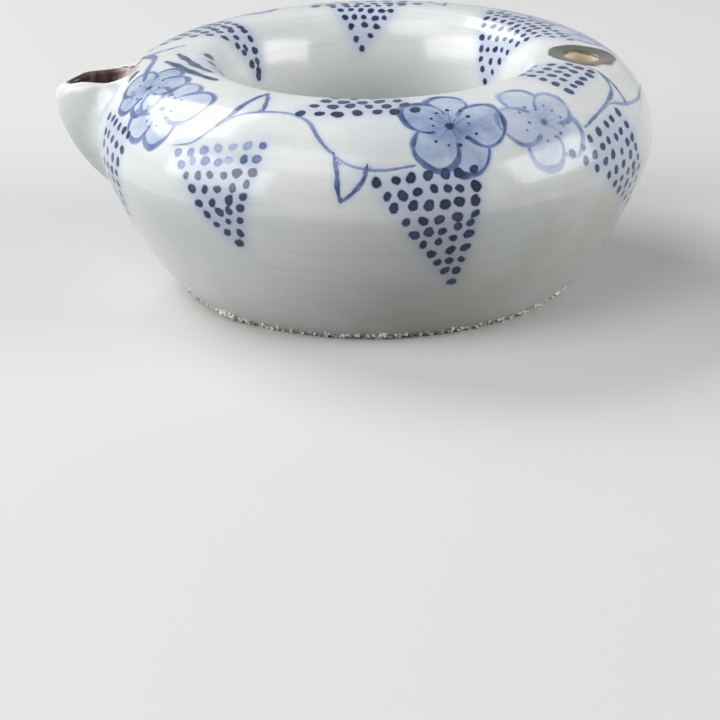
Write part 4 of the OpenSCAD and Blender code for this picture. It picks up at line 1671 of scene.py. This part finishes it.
@dataclass(frozen=True)
class InletGlaze(Finish):
    """White skirt, and a thin olive-brown glaze on the ring, with painted shade on its far side towards its
    outer edge, pale in the bore.
    """

    def make(self, groups: dict[str, bpy.types.NodeTree]) -> bpy.types.Material:
        """Builds the material from the ring's own distance and height."""
        material, graph = self.start()
        place = graph.place()
        white = graph.node("ShaderNodeGroup", node_tree=groups["body"])
        graph.feed(white.inputs["Place"], place)
        out, height, _ = graph.split(graph.attribute("rim"))
        far, left, _ = graph.split(graph.attribute("rim_side"))
        mottle = graph.noise(place, 420, 4, 0.6)
        waved = graph.math("MULTIPLY_ADD", mottle, 1.2, graph.math("SUBTRACT", left, 0.6))
        olive = graph.mix(graph.ramp(waved, -0.6, 0.3), Hue.MAUVE.rgba, Hue.OLIVE.rgba)
        # Painted shade: the ring's far side, most towards its outer edge, is darkened towards the shaded
        # olive.
        shade = graph.math("MULTIPLY", graph.ramp(far, 0.1, 0.8), graph.ramp(out, 4.2, 6.3, 0.35, 1.0))
        olive = graph.mix(graph.math("MULTIPLY", shade, 0.85), olive, Hue.OLIVE_SHADED.rgba)
        flush = graph.math("MULTIPLY", graph.ramp(far, 0.1, -0.5), graph.ramp(left, 0.35, -0.3))
        flush = graph.math("MULTIPLY", flush, graph.ramp(out, 5.6, 4.2))
        olive = graph.mix(graph.math("MULTIPLY", flush, graph.ramp(mottle, 0.3, 0.6)), olive, Hue.RUST.rgba)
        edge = graph.math("MULTIPLY_ADD", mottle, 0.9, graph.math("SUBTRACT", out, 0.45))
        colour = graph.mix(graph.ramp(edge, 6.2, 6.75), olive, white.outputs["White"])
        bore = graph.ramp(graph.math("MULTIPLY_ADD", mottle, 0.5, height), -0.75, -0.25, 1.0, 0.0)
        colour = graph.mix(bore, colour, Hue.BORE.rgba)
        relief = graph.math("ADD", white.outputs["Height"], graph.math("MULTIPLY", mottle, 0.3))
        self.shader(graph, colour, relief)
        return material


@dataclass(frozen=True)
class KilnSand(Finish):
    """Bright half-melted sand."""

    def make(self, groups: dict[str, bpy.types.NodeTree]) -> bpy.types.Material:
        """Builds the material."""
        material, graph = self.start()
        place = graph.place()
        shade = graph.noise(place, 700, 3)
        colour = graph.mix(graph.ramp(shade, 0.35, 0.7), Hue.SAND.rgba, Hue.BISCUIT.rgba)
        self.shader(graph, colour, graph.noise(place, 2600, 3, 0.7))
        return material


class Kiln:
    """Every finish of the dropper, made once."""

    def __init__(self) -> None:
        """Builds the shared groups and the materials."""
        groups = {"cobalt": cobalt_group(), "dots": dots_group(), "strokes": strokes_group(),
                  "blossom": blossom_group(), "body": body_group()}
        self.porcelain = PaintedPorcelain("painted_porcelain", 0.15, 0.30).make(groups)
        self.biscuit = BareClay("bare_biscuit", 0.86, 0.16).make(groups)
        self.slip = BareClay("fired_slip", 0.8, 0.1, Hue.SLIP, Hue.BISCUIT).make(groups)
        self.inlet = InletGlaze("inlet_glaze", 0.24, 0.2).make(groups)
        self.sand = KilnSand("kiln_sand", 0.5, 0.1).make(groups)


# Stage, lights and camera


@dataclass(frozen=True)
class Camera:
    """The photograph's camera: far off, a little above the rim, and nearly level from side to side."""

    distance: float = 630.0
    elevation: float = 19.1296
    turn: float = 0.45
    pitch: float = 20.636
    yaw: float = -0.3706
    roll: float = -1.1651
    focal_px: float = 3262.8763
    sensor: float = 36.0

    def build(self) -> bpy.types.Object:
        """Places the camera; its right and down are turned by the roll, then all by the turn."""
        up, pitch, yaw = (math.radians(v) for v in (self.elevation, self.pitch, self.yaw))
        roll = math.radians(self.roll)
        place = np.array([0, -math.cos(up), math.sin(up)]) * self.distance
        level = np.array([math.sin(yaw), math.cos(yaw), 0.0])
        upright = np.array([0.0, 0.0, 1.0])
        ahead = math.cos(pitch) * level - math.sin(pitch) * upright
        right = np.array([math.cos(yaw), -math.sin(yaw), 0.0])
        down = -math.sin(pitch) * level - math.cos(pitch) * upright
        side = math.cos(roll) * right - math.sin(roll) * down
        below = math.sin(roll) * right + math.cos(roll) * down
        matrix = np.eye(4)
        matrix[:3, :3] = np.stack([side, -below, -ahead], 1)
        matrix[:3, 3] = place * MM
        data = bpy.data.cameras.new("camera")
        data.sensor_width = self.sensor
        data.lens = self.sensor * self.focal_px / IMAGE
        data.clip_start = 0.01
        data.clip_end = 20
        obj = bpy.data.objects.new("camera", data)
        obj.matrix_world = Matrix.Rotation(math.radians(self.turn), 4, "Z") @ Matrix(matrix.tolist())
        bpy.context.scene.collection.objects.link(obj)
        bpy.context.scene.camera = obj
        return obj


@dataclass(frozen=True)
class SoftBox:
    """A large soft lamp, placed by turn, height angle and distance, facing the dropper."""

    name: str
    turn: float
    rise: float
    distance: float
    width: float
    height: float
    watts: float

    def build(self) -> bpy.types.Object:
        """Places the lamp."""
        turn, rise = math.radians(self.turn), math.radians(self.rise)
        flat = np.array([math.sin(turn), -math.cos(turn), 0.0]) * math.cos(rise)
        place = flat + np.array([0.0, 0.0, math.sin(rise)])
        data = bpy.data.lights.new(self.name, "AREA")
        data.shape = "RECTANGLE"
        data.size = self.width
        data.size_y = self.height
        data.energy = self.watts
        obj = bpy.data.objects.new(self.name, data)
        back = Matrix.Rotation(turn, 4, "Z") @ Matrix.Rotation(math.pi / 2 - rise, 4, "X")
        obj.matrix_world = Matrix.Translation((place * self.distance).tolist()) @ back
        bpy.context.scene.collection.objects.link(obj)
        return obj


@dataclass(frozen=True)
class Studio:
    """Plain pale floor, pale surroundings and soft lamps."""

    boxes: tuple[SoftBox, ...] = (
        SoftBox("left_box", -68.0, 19.0, 1.1, 0.95, 0.62, 9.5),
        SoftBox("right_box", 78.0, 19.0, 1.1, 0.80, 0.62, 9.0),
        SoftBox("back_box", -128.0, 42.0, 1.15, 0.70, 0.60, 8.5),
        SoftBox("front_box", -38.0, 52.0, 1.15, 0.70, 0.60, 3.5),
    )
    world_strength: float = 0.14
    world_seen: float = 0.62
    floor_bounce: float = 0.13
    floor_half: float = 3.0
    floor_roughness: float = 0.85
    floor_cloud: float = 0.96

    @staticmethod
    def seen(graph: Graph) -> bpy.types.NodeSocket:
        """1 for rays from the camera or through a gloss or a clear surface, 0 for light thrown on."""
        path = graph.node("ShaderNodeLightPath")
        direct = graph.math("MAXIMUM", path.outputs["Is Camera Ray"], path.outputs["Is Glossy Ray"])
        return graph.math("MAXIMUM", direct, path.outputs["Is Transmission Ray"])

    def build(self) -> None:
        """Builds the floor, the world and the lamps."""
        size = self.floor_half / MM
        corners = np.array([[-size, -size, 0], [size, -size, 0], [size, size, 0], [-size, size, 0]])
        floor = new_object("studio_floor", corners, np.array([[0, 1, 2, 3]]))
        material = bpy.data.materials.new("studio_floor")
        material.use_nodes = True
        graph = Graph(material.node_tree)
        shade = graph.noise(graph.place(), 3.0, 2)
        dusk = tuple(self.floor_cloud * v for v in Hue.FLOOR.value)
        colour = graph.mix(shade, Hue.FLOOR.rgba, (*dusk, 1.0))
        dim = (self.floor_bounce,) * 3
        colour = graph.mix(self.seen(graph), (*dim, 1.0), colour)
        principled = next(n for n in material.node_tree.nodes if n.type == "BSDF_PRINCIPLED")
        graph.feed(principled.inputs["Base Color"], colour)
        principled.inputs["Roughness"].default_value = self.floor_roughness
        floor.data.materials.append(material)
        world = bpy.data.worlds.new("studio")
        bpy.context.scene.world = world
        world.use_nodes = True
        back = next(n for n in world.node_tree.nodes if n.type == "BACKGROUND")
        back.inputs["Color"].default_value = Hue.SKY.rgba
        sky = Graph(world.node_tree)
        extra = self.world_seen - self.world_strength
        shown = sky.math("MULTIPLY_ADD", self.seen(sky), extra, self.world_strength)
        sky.feed(back.inputs["Strength"], shown)
        for box in self.boxes:
            box.build()
        bpy.context.scene.view_settings.view_transform = "Standard"


# The dropper


@dataclass
class Dropper:
    """The whole vessel: its turned members, the spout, the filling ring, the foot and the sand."""

    section: RingSection
    kiln: Kiln
    outlet_out: float = 49.0
    outlet_z: float = 33.4
    outlet_r: float = 2.3
    outlet_reach: float = 6.0
    painting: Painting = field(init=False)

    def __post_init__(self) -> None:
        """Lays out the painting."""
        self.painting = Painting(self.section)

    def finish_shell(self, shell: Shell, obj: bpy.types.Object, turn: np.ndarray, arc: np.ndarray) -> None:
        """Paints a shell and gives it its glaze."""
        self.painting.dress(obj, turn, arc)
        obj.data.materials.append(self.kiln.porcelain)
        shell.claim(obj, "glaze")

    def build(self) -> None:
        """Builds every piece in order."""
        section, painting, kiln = self.section, self.painting, self.kiln
        inlet = InletRim(section, painting)
        socket = RoundCut(inlet.centre, inlet.axis, inlet.outer_r)
        mouth = np.array([-self.outlet_out, 0.0, self.outlet_z])
        outlet = RoundCut(mouth, np.array([-1.0, 0.0, 0.0]), self.outlet_r, self.outlet_reach)
        shells = (OuterWall(section, painting), Shoulder(section, painting, cuts=(socket, outlet)),
                  WellWall(section, painting, cuts=(socket,)))
        for shell in shells:
            self.finish_shell(shell, *shell.build())
        spout = Spout.from_frame(section, painting)
        beak = spout.build()
        beak.data.materials.append(kiln.porcelain)
        spout.claim(beak, "glaze")
        foot = FootRing(section, painting)
        floor = FloorRing(section, painting)
        grit = KilnGrit(section, painting)
        for member, obj, material, slot in (
                (inlet, inlet.build(), kiln.inlet, "inlet"),
                (foot, foot.build("bare"), kiln.biscuit, "biscuit"),
                (floor, floor.build("fired"), kiln.biscuit, "glaze"),
                (grit, grit.build(), kiln.sand, "grit")):
            obj.data.materials.append(material)
            member.claim(obj, slot)
        for seam in ("belly_seam", "crest_seam"):
            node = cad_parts[seam]
            node.data.materials.clear()
            node.data.materials.append(kiln.slip)


def main() -> None:
    """Builds the scene round the frame."""
    logging.basicConfig(level=logging.INFO, format="%(message)s")
    Camera().build()
    Studio().build()
    Dropper(RingSection.from_frame(), Kiln()).build()


if __name__ == "__main__":
    main()
